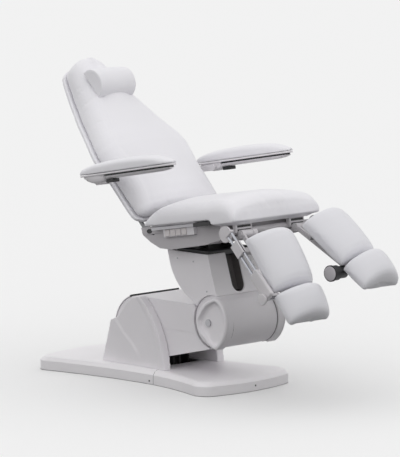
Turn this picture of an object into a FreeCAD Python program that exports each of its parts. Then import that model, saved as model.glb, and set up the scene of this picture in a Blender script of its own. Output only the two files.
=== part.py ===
import FreeCAD, Part
import math
import os
import Sketcher

# Podiatry chair: base with two cheeks, lift arm, upright column, seat, backrest,
# head pillow, two armrests and two leg supports that move by themselves.
# Millimetres and degrees. +X points to the foot end, +Y to the sitter's left, +Z up.
# The origin lies on the floor, at the middle of the base plate's underside.

SIZES = {
    # running clearances and the overrun of cuts
    "fit_gap": 0.05,
    "soft_gap": 0.3,
    "cover_gap": 2.0,
    "overrun": 5.0,
    # base
    "base_length": 1090.0,
    "base_shift": 8.0,
    "base_rear_half": 291.0,
    "base_waist_half": 208.0,
    "base_front_half": 262.0,
    "base_seam": 150.0,
    "base_height": 62.0,
    "base_side": 42.0,
    "base_bevel": 12.0,
    "base_crown": 26.0,
    "shell_wall": 3.5,
    "plate_inset": 3.6,
    "plate_thick": 10.0,
    "inlet_half": 24.0,
    "inlet_high": 24.0,
    "inlet_rise": 2.0,
    # cheeks
    "cheek_inner": 140.0,
    "cheek_thick": 40.0,
    "cheek_top": 363.0,
    "cheek_foot_rear": 200.0,
    "cheek_foot_front": 187.0,
    # lift arm
    "pivot_back": 10.0,
    "pivot_height": 212.0,
    "arm_drum": 145.0,
    "arm_seam": 234.0,
    "arm_cover_half": 138.0,
    "arm_rear": 120.0,
    "bracket_half": 100.0,
    "bracket_thick": 10.0,
    "arm_plate_half": 80.0,
    "arm_plate_thick": 10.0,
    "shaft_radius": 15.0,
    "bush_wall": 4.0,
    "tie_forward": 15.0,
    "tie_drop": 62.0,
    "tie_pin": 8.0,
    "drive_x": 60.0,
    "drive_z": 100.0,
    "drive_radius": 22.0,
    "drive_rod": 10.0,
    # elbow and column
    "elbow_x": 440.0,
    "elbow_z": 295.0,
    "drum_radius": 112.0,
    "drum_end": 180.0,
    "band_width": 22.0,
    "drum_wall": 4.0,
    "column_half": 140.0,
    "column_rear": 168.0,
    "column_heel": 182.0,
    "column_heel_rise": 523.0,
    "column_waist": 230.0,
    "column_waist_rise": 438.0,
    "column_knee": 314.0,
    "column_knee_rise": 377.0,
    "column_seam": 401.0,
    "column_lean": 52.0,
    "column_band": 6.0,
    "column_top": 575.0,
    "column_plate_half": 60.0,
    "column_plate_thick": 8.0,
    "slot_width": 74.0,
    "slot_low": 412.0,
    # seat, in its own tilted frame: x from the cushion's rear, z up from its underside
    "seat_rear": 155.0,
    "seat_low": 673.0,
    "seat_tilt": 9.5,
    "seat_length": 535.0,
    "seat_half": 266.0,
    "seat_thick": 84.0,
    "seat_crown": 20.0,
    "seat_lip": 24.0,
    "seat_lip_length": 105.0,
    "board_thick": 12.0,
    "hull_half": 200.0,
    "hull_depth": 100.0,
    "rail_half": 120.0,
    "rail_size": 30.0,
    "tilt_x": 131.0,
    "tilt_z": 75.0,
    "hinge_x": 16.5,
    "hinge_z": 20.5,
    "key_count": 4.0,
    "key_pitch": 34.0,
    "key_width": 27.0,
    "key_height": 32.0,
    "key_first": 88.0,
    "key_travel": 3.0,
    "key_axle": 2.0,
    "tube_back": 48.0,
    "tube_rise": 12.0,
    "hull_rear": 85.0,
    "hull_shoulder": 80.0,
    "hull_shoulder_drop": 27.0,
    "hull_belly": 38.0,
    "hull_belly_drop": 60.0,
    "hull_heel": 14.0,
    "hull_flat_start": 80.0,
    "hull_flat_end": 286.0,
    "hull_toe": 380.0,
    "hull_nose": 404.0,
    "hull_front": 400.0,
    # backrest, in its own frame: x forward, z along the back
    "back_x": 165.0,
    "back_z": 630.0,
    "recline_angle": 44.0,
    "back_length": 968.0,
    "back_start": 100.0,
    "back_half": 272.0,
    "shell_thick": 28.0,
    "cushion_thick": 54.0,
    "cushion_crown": 16.0,
    "frame_thick": 12.0,
    "pillow_low": 728.0,
    "pillow_chord": 150.0,
    "pillow_bulge": 66.0,
    "pillow_half": 116.0,
    # armrests, in their own frame: x along the arm from its pivot, z up
    "arm_y": 345.0,
    "arm_x": 4.0,
    "arm_z": 876.0,
    "arm_tilt": 10.0,
    "arm_width": 60.0,
    "arm_pad_width": 80.0,
    "arm_back": 121.0,
    "arm_front": 436.0,
    "arm_joint": 29.0,
    "arm_pad_thick": 36.0,
    "arm_pin": 9.0,
    # leg supports, in their own frame: x along the leg, y across it, z off its back
    "leg_inset": 28.0,
    "leg_y": 158.0,
    "leg_z": 692.0,
    "splay_angle": 2.5,
    "right_leg_angle": 44.0,
    "left_leg_angle": 27.5,
    "leg_pin": 10.0,
    "leg_tube": 17.0,
    "pad_low": 62.0,
    "pad_half": 117.0,
    "pad_thick": 118.0,
    "calf_start": 68.0,
    "calf_end": 328.0,
    "foot_start": 344.0,
    "foot_end": 480.0,
    "foot_axis_x": 335.0,
    "pad_angle": 7.0,
    "foot_shaft": 9.0,
    "rod_radius": 7.0,
    "rod_side": 127.0,
    "rod_spacing": 27.0,
    "rod_low": 12.0,
    "knob_radius": 31.0,
    "knob_start": 120.0,
    "knob_length": 38.0,
}

# Half-width of the backrest as a share of its widest half-width, at shares of its length.
BACK_OUTLINE_SHARES = [
    (0.000, 0.62),
    (0.030, 0.82),
    (0.150, 0.89),
    (0.415, 1.00),
    (0.530, 0.93),
    (0.670, 0.66),
    (0.800, 0.535),
    (0.915, 0.41),
    (0.975, 0.22),
    (1.000, 0.05),
]

# Depth of the backrest's shell and of its cushion, as shares of their plain depths,
# at shares of the backrest's length.
SHELL_DEPTH_SHARES = [
    (0.00, 0.60), (0.15, 0.93), (0.30, 0.985), (0.42, 0.985), (0.55, 1.70), (0.80, 3.10), (1.00, 2.90),
]
CUSHION_DEPTH_SHARES = [(0.00, 0.55), (0.16, 1.45), (0.34, 1.50), (0.60, 1.05), (0.80, 0.95), (1.00, 0.90)]

doc = FreeCAD.newDocument("PodiatryChair")
sheet = doc.addObject("Spreadsheet::Sheet", "Sheet")
for row, (name, number) in enumerate(SIZES.items(), start=1):
    sheet.set(f"A{row}", name)
    sheet.set(f"B{row}", str(number))
    sheet.setAlias(f"B{row}", name)
doc.recompute()


def text_of(value):
    return value.text if isinstance(value, Dim) else repr(float(value))


class Dim:
    """A size from the sheet, or a sum of such sizes: its number and its expression."""

    def __init__(self, number, text):
        self.number = float(number)
        self.text = text

    def __float__(self):
        return self.number

    def __add__(self, other):
        return Dim(self.number + float(other), f"({self.text} + {text_of(other)})")

    def __radd__(self, other):
        return Dim(float(other) + self.number, f"({text_of(other)} + {self.text})")

    def __sub__(self, other):
        return Dim(self.number - float(other), f"({self.text} - {text_of(other)})")

    def __rsub__(self, other):
        return Dim(float(other) - self.number, f"({text_of(other)} - {self.text})")

    def __mul__(self, other):
        return Dim(self.number * float(other), f"({self.text} * {text_of(other)})")

    __rmul__ = __mul__

    def __truediv__(self, other):
        return Dim(self.number / float(other), f"({self.text} / {text_of(other)})")

    def __neg__(self):
        return Dim(-self.number, f"(0 - {self.text})")


class Sheet:
    """Reads a size of the sheet by its alias."""

    def __getattr__(self, name):
        return Dim(sheet.get(name), "Sheet." + name)


size = Sheet()
nodes = []
SIDES = (("right", -1), ("left", 1))


def vector(x, y, z):
    return FreeCAD.Vector(float(x), float(y), float(z))


def frame_at(x, y, z, *turns):
    """A placement at a point, turned by each (axis, angle) in order."""
    rotation = FreeCAD.Rotation()
    for axis, angle in turns:
        rotation = rotation.multiply(FreeCAD.Rotation(axis, float(angle)))
    return FreeCAD.Placement(vector(x, y, z), rotation)


AXIS_X = vector(1, 0, 0)
AXIS_Y = vector(0, 1, 0)
AXIS_Z = vector(0, 0, 1)
WORLD = FreeCAD.Placement()
LEG_X = size.seat_rear + size.seat_length - size.leg_inset
SEAT = frame_at(size.seat_rear, 0, size.seat_low, (AXIS_Y, -size.seat_tilt))
BACK = frame_at(size.back_x, 0, size.back_z, (AXIS_Y, -size.recline_angle))


def leg_frame_of(side, pitch):
    """Frame of a leg support: x down the leg, y to the left, z away from its back."""
    turns = [(AXIS_Y, -size.seat_tilt), (AXIS_Z, side * size.splay_angle)]
    turns.append((AXIS_Y, pitch + size.seat_tilt))
    return frame_at(LEG_X, side * size.leg_y, size.leg_z, *turns)


def arm_frame_of(side):
    return frame_at(-size.arm_x, side * size.arm_y, size.arm_z, (AXIS_Y, -size.arm_tilt))


def bind(thing, property_name, value):
    """Ties a property to the sheet where its value comes from there."""
    if isinstance(value, Dim):
        thing.setExpression(property_name, value.text)


class Via:
    """A point that an arc passes between two corners of an outline."""

    def __init__(self, x, y):
        self.x = x
        self.y = y


def draw_outline(sketch, path):
    """Draws a closed outline of lines and arcs and ties its corners to the sheet."""
    corners = [point for point in path if not isinstance(point, Via)]
    arcs = {}
    for index, point in enumerate(path):
        if isinstance(point, Via):
            start = len([p for p in path[:index] if not isinstance(p, Via)]) - 1
            arcs[start] = point
    ends = []
    for index, corner in enumerate(corners):
        start = vector(corner[0], corner[1], 0)
        following = corners[(index + 1) % len(corners)]
        stop = vector(following[0], following[1], 0)
        if index not in arcs:
            edge = sketch.addGeometry(Part.LineSegment(start, stop), False)
            ends.append((edge, 1, 2))
            continue
        middle = vector(arcs[index].x, arcs[index].y, 0)
        turn = (middle - start).cross(stop - middle).z
        if turn > 0:
            edge = sketch.addGeometry(Part.Arc(start, middle, stop), False)
            ends.append((edge, 1, 2))
        else:
            edge = sketch.addGeometry(Part.Arc(stop, middle, start), False)
            ends.append((edge, 2, 1))
    for index, (edge, first, last) in enumerate(ends):
        next_edge, next_first, _ = ends[(index + 1) % len(ends)]
        sketch.addConstraint(Sketcher.Constraint("Coincident", edge, last, next_edge, next_first))
        for kind, value in zip(("DistanceX", "DistanceY"), corners[index]):
            if isinstance(value, Dim):
                number = sketch.addConstraint(
                    Sketcher.Constraint(kind, -1, 1, edge, first, float(value))
                )
                sketch.setExpression(f"Constraints[{number}]", value.text)


def sketch_on(body, role, level, path=None, circles=()):
    """A sketch on one of the body's own origin planes, at a level along its normal."""
    plane = next(item for item in body.Origin.OriginFeatures if item.Role == role)
    sketch = body.newObject("Sketcher::SketchObject", "Outline")
    sketch.AttachmentSupport = [(plane, "")]
    sketch.MapMode = "FlatFace"
    sketch.AttachmentOffset = FreeCAD.Placement(vector(0, 0, level), FreeCAD.Rotation())
    if isinstance(level, Dim):
        sketch.setExpression("AttachmentOffset.Base.z", level.text)
    if path:
        draw_outline(sketch, path)
    for x, y, radius in circles:
        ring = sketch.addGeometry(Part.Circle(vector(x, y, 0), AXIS_Z, float(radius)), False)
        number = sketch.addConstraint(Sketcher.Constraint("Radius", ring, float(radius)))
        bind(sketch, f"Constraints[{number}]", radius)
    return sketch


def extrude(body, kind, sketch, length, symmetric=True, reverse=False):
    """Pads or pockets a sketch, to both sides or to one."""
    feature = body.newObject("PartDesign::" + kind, kind)
    feature.Profile = sketch
    feature.Length = float(length)
    bind(feature, "Length", length)
    if symmetric:
        feature.SideType = "Symmetric"
    feature.Reversed = reverse
    body.Tip = feature
    return feature


def new_body(label, frame=WORLD):
    body = doc.addObject("PartDesign::Body", label)
    body.Label = label
    body.Placement = frame
    nodes.append(body)
    return body


def side_pad(body, path, y, width, kind="Pad", circles=()):
    """Adds or cuts a side outline, spread evenly about the plane at y."""
    return extrude(body, kind, sketch_on(body, "XZ_Plane", -y, path, circles), width)


def plan_pad(body, path, z, height, kind="Pad", circles=()):
    """Adds or cuts a plan outline, upward from z."""
    sketch = sketch_on(body, "XY_Plane", z, path, circles)
    return extrude(body, kind, sketch, height, symmetric=False, reverse=kind == "Pocket")


def front_pad(body, path, x, depth, kind="Pad", circles=()):
    """Adds or cuts a front outline, forward from x."""
    sketch = sketch_on(body, "YZ_Plane", x, path, circles)
    return extrude(body, kind, sketch, depth, symmetric=False, reverse=kind == "Pocket")


def box_path(x1, y1, x2, y2):
    return [(x1, y1), (x2, y1), (x2, y2), (x1, y2)]


def cylinder(name, frame, centre, direction, radius, length):
    """A cylinder about a centre, along x, y or z of a frame."""
    turn = {"x": (AXIS_Y, 90), "y": (AXIS_X, -90), "z": (AXIS_Z, 0)}[direction]
    item = doc.addObject("Part::Cylinder", name)
    item.Radius = float(radius)
    item.Height = float(length)
    bind(item, "Radius", radius)
    bind(item, "Height", length)
    local = frame_at(*centre, turn).multiply(frame_at(0, 0, -length / 2))
    item.Placement = frame.multiply(local)
    return item


def block(name, frame, low, high):
    """A box between two corners of a frame."""
    item = doc.addObject("Part::Box", name)
    for property_name, first, last in zip(("Length", "Width", "Height"), low, high):
        span = last - first
        setattr(item, property_name, float(span))
        bind(item, property_name, span)
    item.Placement = frame.multiply(frame_at(*low))
    return item


def tube(name, frame, centre, direction, radius, bore, length):
    """A cylinder with a bore right through."""
    outside = cylinder(name + "_outside", frame, centre, direction, radius, length)
    inside = cylinder(name + "_bore", frame, centre, direction, bore, length + size.overrun)
    return cut(name, outside, inside)


def cut(name, base, tool):
    item = doc.addObject("Part::Cut", name)
    item.Base = base
    item.Tool = tool
    return item


def join(name, parts):
    item = doc.addObject("Part::MultiFuse", name)
    item.Shapes = parts
    item.Refine = True
    return item


def node(item, label):
    """Takes an object as a finished piece of the chair."""
    item.Label = label
    nodes.append(item)
    return item


def group(label, parts):
    """Like pieces kept as separate solids under one name."""
    item = doc.addObject("Part::Compound", label)
    item.Links = parts
    return node(item, label)


def base_half_outline(inset, rear, past_seam=0):
    """Outline of one end of the base on its right side, from the seam outward."""
    end = size.base_length / 2 - inset + (-size.base_shift if rear else size.base_shift)
    waist = -(size.base_waist_half - inset)
    seam = size.base_seam + past_seam
    if rear:
        wide = -(size.base_rear_half - inset)
        return [
            (seam, waist),
            Via(-size.base_length * 0.13, waist * 0.74 + wide * 0.26),
            (-end * 0.80, wide),
            Via(-end * 0.905, wide * 0.965),
            (-end * 0.935, wide * 0.85),
            Via(-end * 0.985, wide * 0.40),
            (-end, waist * 0),
        ]
    wide = -(size.base_front_half - inset)
    return [
        (seam, waist),
        Via(seam * 0.5 + end * 0.38, waist * 0.72 + wide * 0.28),
        (end * 0.80, wide),
        Via(end * 0.90, wide * 0.965),
        (end * 0.945, wide * 0.83),
        Via(end * 0.985, wide * 0.42),
        (end, waist * 0),
    ]


def close_end(half):
    """Joins a half outline that ends on the middle line to its mirror image."""
    other = []
    for point in reversed(half[:-1]):
        if isinstance(point, Via):
            other.append(Via(point.x, -point.y))
        else:
            other.append((point[0], -point[1]))
    return half + other


def make_base_plate():
    body = new_body("base_plate")
    inset = size.plate_inset
    rear = close_end(base_half_outline(inset, True))
    front = close_end(base_half_outline(inset, False))
    plan_pad(body, rear, Dim(0, "0"), size.plate_thick)
    plan_pad(body, front, Dim(0, "0"), size.plate_thick)


def make_base_cover(label, rear):
    """A thin moulded cover: upright sides, a bevel and a flat top, open below."""
    body = new_body(label)
    levels = [
        (size.cover_gap, 0 * size.base_bevel),
        (size.base_side, 0 * size.base_bevel),
        (size.base_height - size.base_bevel / 3, size.base_bevel),
        (size.base_height, size.base_crown),
    ]
    sketches = [
        sketch_on(body, "XY_Plane", z, close_end(base_half_outline(inset, rear)))
        for z, inset in levels
    ]
    loft = body.newObject("PartDesign::AdditiveLoft", "Loft")
    loft.Profile = sketches[0]
    loft.Sections = sketches[1:]
    loft.Ruled = True
    body.Tip = loft
    past_seam = size.overrun if rear else -size.overrun
    cavity = [
        (size.base_side - size.shell_wall, size.shell_wall),
        (size.base_height - size.shell_wall, size.base_crown),
    ]
    for ceiling, inset in cavity:
        outline = close_end(base_half_outline(inset, rear, past_seam))
        plan_pad(body, outline, -size.overrun, ceiling + size.overrun, "Pocket")
    if rear:
        reach = size.arm_plate_half + size.bracket_half / 2
        rear_edge = -size.pivot_back - size.arm_plate_half
        opening = box_path(rear_edge, -reach, size.base_seam * 0.7, reach)
        plan_pad(body, opening, size.base_height - 2 * size.overrun, 3 * size.overrun, "Pocket")
        low = size.plate_thick + size.inlet_rise - size.fit_gap
        socket = box_path(-size.inlet_half, low, size.inlet_half, low + size.inlet_high)
        rear_end = size.base_shift - size.base_length / 2
        front_pad(body, socket, rear_end - size.overrun, 3 * size.overrun, "Pocket")


def cheek_path():
    rear = -size.cheek_foot_rear
    front = size.cheek_foot_front
    low = size.base_height
    top = size.cheek_top
    rise = top - low
    return [
        (rear, low),
        Via(rear * 0.86, low + rise * 0.30),
        (rear * 0.735, low + rise * 0.605),
        (rear * 0.50, low + rise * 0.675),
        (rear * 0.205, low + rise * 0.915),
        Via(-rear * 0.01, low + rise * 0.985),
        (front * 0.20, top),
        Via(front * 0.79, low + rise * 0.52),
        (front, low),
    ]


def make_cheek(label, side):
    body = new_body(label)
    side_pad(body, cheek_path(), side * (size.cheek_inner + size.cheek_thick / 2), size.cheek_thick)


def polar(centre_x, centre_z, radius, angle):
    """A point at an angle about a centre, in the side view."""
    turn = math.radians(angle)
    return centre_x + radius * math.cos(turn), centre_z + radius * math.sin(turn)


def ring_path(centre, inner, outer, first, last):
    """Side outline of a curved strip between two radii and two angles."""
    middle = (first + last) / 2
    return [
        polar(*centre, outer, first),
        Via(*polar(*centre, outer, middle)),
        polar(*centre, outer, last),
        polar(*centre, inner, last),
        Via(*polar(*centre, inner, middle)),
        polar(*centre, inner, first),
    ]


def make_upright_cover():
    """Curved cover between the cheeks, behind the lift arm's round end."""
    centre = (-size.pivot_back, size.pivot_height)
    inner = size.arm_drum + size.cover_gap
    outer = inner + size.shell_wall
    last = 200
    body = new_body("rear_upright_cover")
    foot = -size.cheek_foot_rear + size.cover_gap
    low = size.base_height
    path = ring_path(centre, inner, outer, 112, last)
    path = path[:3] + [(foot, low), (foot + size.shell_wall, low)] + path[3:]
    side_pad(body, path, 0 * low, 2 * size.cheek_inner)


def make_wiper_seal():
    centre = (-size.pivot_back, size.pivot_height)
    inner = size.arm_drum + size.cover_gap / 2
    body = new_body("wiper_seal")
    path = ring_path(centre, inner, inner + 2 * size.shell_wall, 106, 112)
    side_pad(body, path, 0 * inner, 2 * size.cheek_inner)


def make_mains_inlet():
    """Socket for a mains lead, let into the rear end of the base."""
    rear = size.base_shift - size.base_length / 2
    half = size.inlet_half - size.fit_gap
    low = size.plate_thick + size.inlet_rise
    high = low + size.inlet_high - size.fit_gap
    depth = size.inlet_half * 0.8
    body = block("inlet_body", WORLD, (rear + size.cover_gap, -half, low), (rear + depth, half, high))
    wall = size.inlet_high * 0.2
    hollow = block(
        "inlet_hollow", WORLD,
        (rear - size.overrun, -half * 0.6, low + wall),
        (rear + depth * 0.7, half * 0.6, high - wall),
    )
    pins = []
    for share in (-0.36, 0, 0.36):
        y = half * share
        pin = size.inlet_high * 0.06
        middle = (low + high) / 2
        pins.append(
            block(
                "inlet_pin", WORLD,
                (rear + depth * 0.3, y - pin, middle - 2 * pin),
                (rear + depth * 0.75, y + pin, middle + 2 * pin),
            )
        )
    node(join("mains_inlet", [cut("inlet_shell", body, hollow)] + pins), "mains_inlet")


def make_base():
    make_mains_inlet()
    make_base_plate()
    make_base_cover("rear_base_cover", True)
    make_base_cover("front_base_cover", False)
    make_cheek("right_cheek", -1)
    make_cheek("left_cheek", 1)
    make_upright_cover()
    make_wiper_seal()


def flat_plate(name, points, y, thickness, holes=()):
    """An upright plate from a side outline of points and arcs, centred on y, with holes."""
    edges = []
    corners = [point for point in points if not isinstance(point, Via)]
    for index, corner in enumerate(corners):
        start = vector(corner[0], y - thickness / 2, corner[1])
        following = corners[(index + 1) % len(corners)]
        stop = vector(following[0], y - thickness / 2, following[1])
        place = points.index(corner) + 1
        if place < len(points) and isinstance(points[place], Via):
            middle = vector(points[place].x, y - thickness / 2, points[place].y)
            edges.append(Part.Arc(start, middle, stop).toShape())
        else:
            edges.append(Part.LineSegment(start, stop).toShape())
    solid = Part.Face(Part.Wire(edges)).extrude(vector(0, thickness, 0))
    for x, z, radius in holes:
        start = vector(x, y - thickness, z)
        solid = solid.cut(Part.makeCylinder(float(radius), 2 * float(thickness), start, AXIS_Y))
    plate = doc.addObject("Part::Feature", name)
    plate.Shape = solid
    return plate


def link_path(first, first_radius, second, second_radius):
    """Side outline of a plate with two round ends, from one hole to the other."""
    dx = float(second[0] - first[0])
    dz = float(second[1] - first[1])
    span = math.hypot(dx, dz)
    ux, uz = dx / span, dz / span
    r1 = float(first_radius)
    r2 = float(second_radius)
    x1, z1, x2, z2 = float(first[0]), float(first[1]), float(second[0]), float(second[1])
    return [
        (x1 - uz * r1, z1 + ux * r1),
        Via(x1 - ux * r1, z1 - uz * r1),
        (x1 + uz * r1, z1 - ux * r1),
        (x2 + uz * r2, z2 - ux * r2),
        Via(x2 + ux * r2, z2 + uz * r2),
        (x2 - uz * r2, z2 + ux * r2),
    ]


ZERO = Dim(0, "0")
DRIVE_SHARE = 0.8
PIN_SHARE = 0.7
BOARD_SHARE = 0.75
# column screws, as shares of the column's width from its rear and of its height from the elbow
SCREW_SHARES = [(0.2575, 0.889), (0.670, 0.871), (1.013, 0.446)]
# height of the cushion's crown where the pillow lies on it
PILLOW_REST_SHARE = 0.865
SWIVEL_SHARE = 0.8
BASE_PIVOT = (-size.pivot_back, size.pivot_height)
ELBOW = (size.elbow_x, size.elbow_z)


def seat_point(x, z):
    """A point of the seat's frame in the world, in the side view."""
    spot = SEAT.multVec(vector(x, 0, z))
    return spot.x, spot.z


TILT_PIVOT = seat_point(size.tilt_x, -size.tilt_z)


def make_arm_frame():
    """Two welded plates with hubs at both ends and two cross tubes."""
    hub = size.shaft_radius + size.bush_wall
    plates = []
    for side in (-1, 1):
        y = side * (size.arm_plate_half + size.arm_plate_thick / 2)
        outline = link_path(BASE_PIVOT, 2.2 * hub, ELBOW, 1.8 * hub)
        holes = [(*BASE_PIVOT, hub), (*ELBOW, hub)]
        plates.append(flat_plate("arm_plate", outline, y, size.arm_plate_thick, holes))
    cover_reach = size.arm_cover_half - size.shell_wall
    for share, reach in ((1 - DRIVE_SHARE, cover_reach), (DRIVE_SHARE, size.arm_plate_half)):
        x = BASE_PIVOT[0] * (1 - share) + ELBOW[0] * share
        z = BASE_PIVOT[1] * (1 - share) + ELBOW[1] * share
        plates.append(cylinder("arm_cross_tube", WORLD, (x, ZERO, z), "y", hub, 2 * reach))
    node(join("lift_arm_frame", plates), "lift_arm_frame")
    bushes = []
    for pivot in (BASE_PIVOT, ELBOW):
        for side in (-1, 1):
            y = side * (size.arm_plate_half + size.arm_plate_thick / 2)
            bore = size.shaft_radius + size.fit_gap
            centre = (pivot[0], y, pivot[1])
            bushes.append(tube("arm_bush", WORLD, centre, "y", hub, bore, size.arm_plate_thick))
    group("arm_bushes", bushes)


def cover_path(inset, low):
    """Side outline of the upper arm cover, drawn in by an inset, down to a level."""
    drum = size.arm_drum - inset
    top = size.pivot_height + drum
    front = size.drum_radius + size.cover_gap * 2 + inset
    drop = low - size.pivot_height
    rear = -size.pivot_back - math.sqrt(float(drum) ** 2 - float(drop) ** 2)
    side = math.sqrt(float(front) ** 2 - float(ELBOW[1] - low) ** 2)
    corner_drop = float(top - ELBOW[1]) - float(size.shell_wall) * 4
    corner = math.sqrt(float(front) ** 2 - corner_drop**2)
    knee = float(ELBOW[0]) - corner
    return [
        (rear, low),
        Via(*polar(*BASE_PIVOT, drum, 130)),
        (-size.pivot_back, top),
        (knee - float(size.shell_wall) * 8, top),
        Via(knee - float(size.shell_wall) * 2.2, top - size.shell_wall * 1.1),
        (knee, float(ELBOW[1]) + corner_drop),
        Via(*polar(*ELBOW, front, 176)),
        (float(ELBOW[0]) - side, low),
    ]


def cut_arm_way(body):
    """Opens a cover's front wall for the arm plates, the tie rods and the lift rod."""
    half = size.arm_plate_half + size.arm_plate_thick + 2 * size.cover_gap
    rear = size.elbow_x - size.drum_radius * 1.15
    front = size.elbow_x - size.drum_radius * 0.5
    low = size.elbow_z - size.drum_radius * 0.9
    plan_pad(body, box_path(rear, -half, front, half), low, size.drum_radius * 1.15, "Pocket")


def make_arm_covers():
    inner_width = 2 * (size.arm_cover_half - size.shell_wall)
    upper = new_body("upper_arm_cover")
    side_pad(upper, cover_path(ZERO, size.arm_seam), ZERO, 2 * size.arm_cover_half)
    side_pad(upper, cover_path(size.shell_wall, size.arm_seam - size.overrun), ZERO, inner_width, "Pocket")
    cut_arm_way(upper)
    lower = new_body("lower_arm_cover")
    front = size.drum_radius + size.cover_gap * 2
    steps = [(ZERO, "Pad", 2 * size.arm_cover_half), (size.shell_wall, "Pocket", inner_width)]
    for inset, kind, width in steps:
        top = size.arm_seam - size.fit_gap if kind == "Pad" else size.arm_seam + size.overrun
        radius = front + inset
        rear = size.arm_rear - (ZERO if kind == "Pad" else size.overrun)
        side = math.sqrt(float(radius) ** 2 - float(ELBOW[1] - top) ** 2)
        tip = polar(*ELBOW, radius, 262 - (0 if kind == "Pad" else 3))
        path = [
            (rear, top),
            (float(ELBOW[0]) - side, top),
            Via(*polar(*ELBOW, radius, 232)),
            tip,
            (tip[0] - float(size.shell_wall) * 4, tip[1] - float(size.shell_wall) * 1.6 + float(inset) / 2),
            (rear, size.arm_rear * 0.88 + inset),
        ]
        side_pad(lower, path, ZERO, width, kind)
    cut_arm_way(lower)


def tie_point(pivot):
    """Where a tie rod is pinned, beside the pivot of the lift arm that it copies."""
    return pivot[0] + size.tie_forward, pivot[1] - size.tie_drop


def make_pivot_brackets():
    """Two upright plates that hold the lower shaft, each with the pin of a tie rod."""
    plates = []
    x, z = BASE_PIVOT
    boss = 2 * size.shaft_radius
    foot = 4.2 * size.shaft_radius
    low = size.plate_thick
    tie = tie_point(BASE_PIVOT)
    pin_length = size.bracket_half + size.bracket_thick - size.arm_plate_half
    for side in (-1, 1):
        y = side * (size.bracket_half + size.bracket_thick / 2)
        path = [(x - foot, low), (x + foot, low), (x + boss, z), Via(x, z + boss), (x - boss, z)]
        plate = flat_plate("bracket_plate", path, y, size.bracket_thick, [(x, z, size.shaft_radius)])
        pin_y = side * (size.arm_plate_half + pin_length / 2)
        pin = cylinder("tie_pin", WORLD, (tie[0], pin_y, tie[1]), "y", size.tie_pin, pin_length)
        plates.append(join("pivot_bracket", [plate, pin]))
    group("pivot_brackets", plates)
    reach = size.bracket_half + size.bracket_thick
    node(cylinder("base_shaft", WORLD, (x, ZERO, z), "y", size.shaft_radius, 2 * reach), "base_shaft")


def make_tie_rods():
    """Flat rods that keep the column upright while the arm swings."""
    rods = []
    start = tie_point(BASE_PIVOT)
    stop = tie_point(ELBOW)
    bore = size.tie_pin + size.fit_gap
    for side in (-1, 1):
        y = side * (size.arm_plate_half + size.arm_plate_thick / 2)
        outline = link_path(start, 2 * size.tie_pin, stop, 2 * size.tie_pin)
        holes = [(*start, bore), (*stop, bore)]
        rods.append(flat_plate("tie_rod", outline, y, size.arm_plate_thick, holes))
    group("tie_rods", rods)


def make_lift_actuator():
    """Screw drive that raises the arm: foot bracket, motor with its tube, and rod."""
    foot = (size.drive_x, size.drive_z)
    head = (
        BASE_PIVOT[0] * (1 - DRIVE_SHARE) + ELBOW[0] * DRIVE_SHARE,
        BASE_PIVOT[1] * (1 - DRIVE_SHARE) + ELBOW[1] * DRIVE_SHARE,
    )
    rise = math.degrees(math.atan2(float(head[1] - foot[1]), float(head[0] - foot[0])))
    reach = math.hypot(float(head[1] - foot[1]), float(head[0] - foot[0]))
    line = frame_at(foot[0], 0, foot[1], (AXIS_Y, -rise))
    eye = size.drive_radius * 0.8
    pin = size.tie_pin
    cheeks = []
    for side in (-1, 1):
        y = side * (size.drive_radius * 0.6 + size.bracket_thick / 2)
        path = [
            (foot[0] - eye * 1.6, size.plate_thick),
            (foot[0] + eye * 1.6, size.plate_thick),
            (foot[0] + eye, foot[1]),
            Via(foot[0], foot[1] + eye),
            (foot[0] - eye, foot[1]),
        ]
        cheeks.append(flat_plate("drive_ear", path, y, size.bracket_thick, [(*foot, pin)]))
    span = 2 * (size.drive_radius * 0.6 + size.bracket_thick)
    cheeks.append(cylinder("drive_foot_pin", WORLD, (foot[0], ZERO, foot[1]), "y", pin, span))
    node(join("drive_bracket", cheeks), "drive_bracket")
    width = size.drive_radius * 1.16
    tube_length = reach * 0.52
    clear = eye * 1.5
    neck = size.drive_radius * 0.55
    motor_length = size.drive_radius * 4
    motor_x = clear + motor_length / 2
    motor_z = size.drive_radius * 1.5
    tube_x = clear + tube_length / 2
    housing = [
        cylinder("drive_eye", line, (ZERO, ZERO, ZERO), "y", eye, width),
        cylinder("drive_neck", line, (clear / 2 + neck / 2, ZERO, ZERO), "x", neck, clear + neck),
        cylinder("drive_tube", line, (tube_x, ZERO, ZERO), "x", size.drive_radius * 0.9, tube_length),
        cylinder("drive_motor", line, (motor_x, ZERO, motor_z), "x", size.drive_radius, motor_length),
    ]
    bore = cylinder("drive_eye_bore", line, (ZERO, ZERO, ZERO), "y", pin + size.fit_gap, width * 1.5)
    channel = cylinder(
        "drive_channel", line, (reach * 0.81, ZERO, ZERO), "x",
        size.drive_rod + size.fit_gap, reach,
    )
    hollow = cut("lift_drive_bored", join("lift_drive_body", housing), bore)
    node(cut("lift_drive", hollow, channel), "lift_drive")
    cross = size.shaft_radius + size.bush_wall
    ring = cross + size.cover_gap * 1.5
    rod_start = reach * 0.36
    rod_length = reach - rod_start - ring
    rod_middle = rod_start + rod_length / 2
    eye_centre = (Dim(reach, repr(reach)), ZERO, ZERO)
    rod = [
        cylinder("drive_rod", line, (rod_middle, ZERO, ZERO), "x", size.drive_rod, rod_length),
        cylinder("drive_head", line, eye_centre, "y", ring + size.bush_wall, width),
    ]
    hole = cylinder("drive_head_bore", line, eye_centre, "y", ring, width * 1.5)
    node(cut("lift_rod", join("lift_rod_body", rod), hole), "lift_rod")


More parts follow.
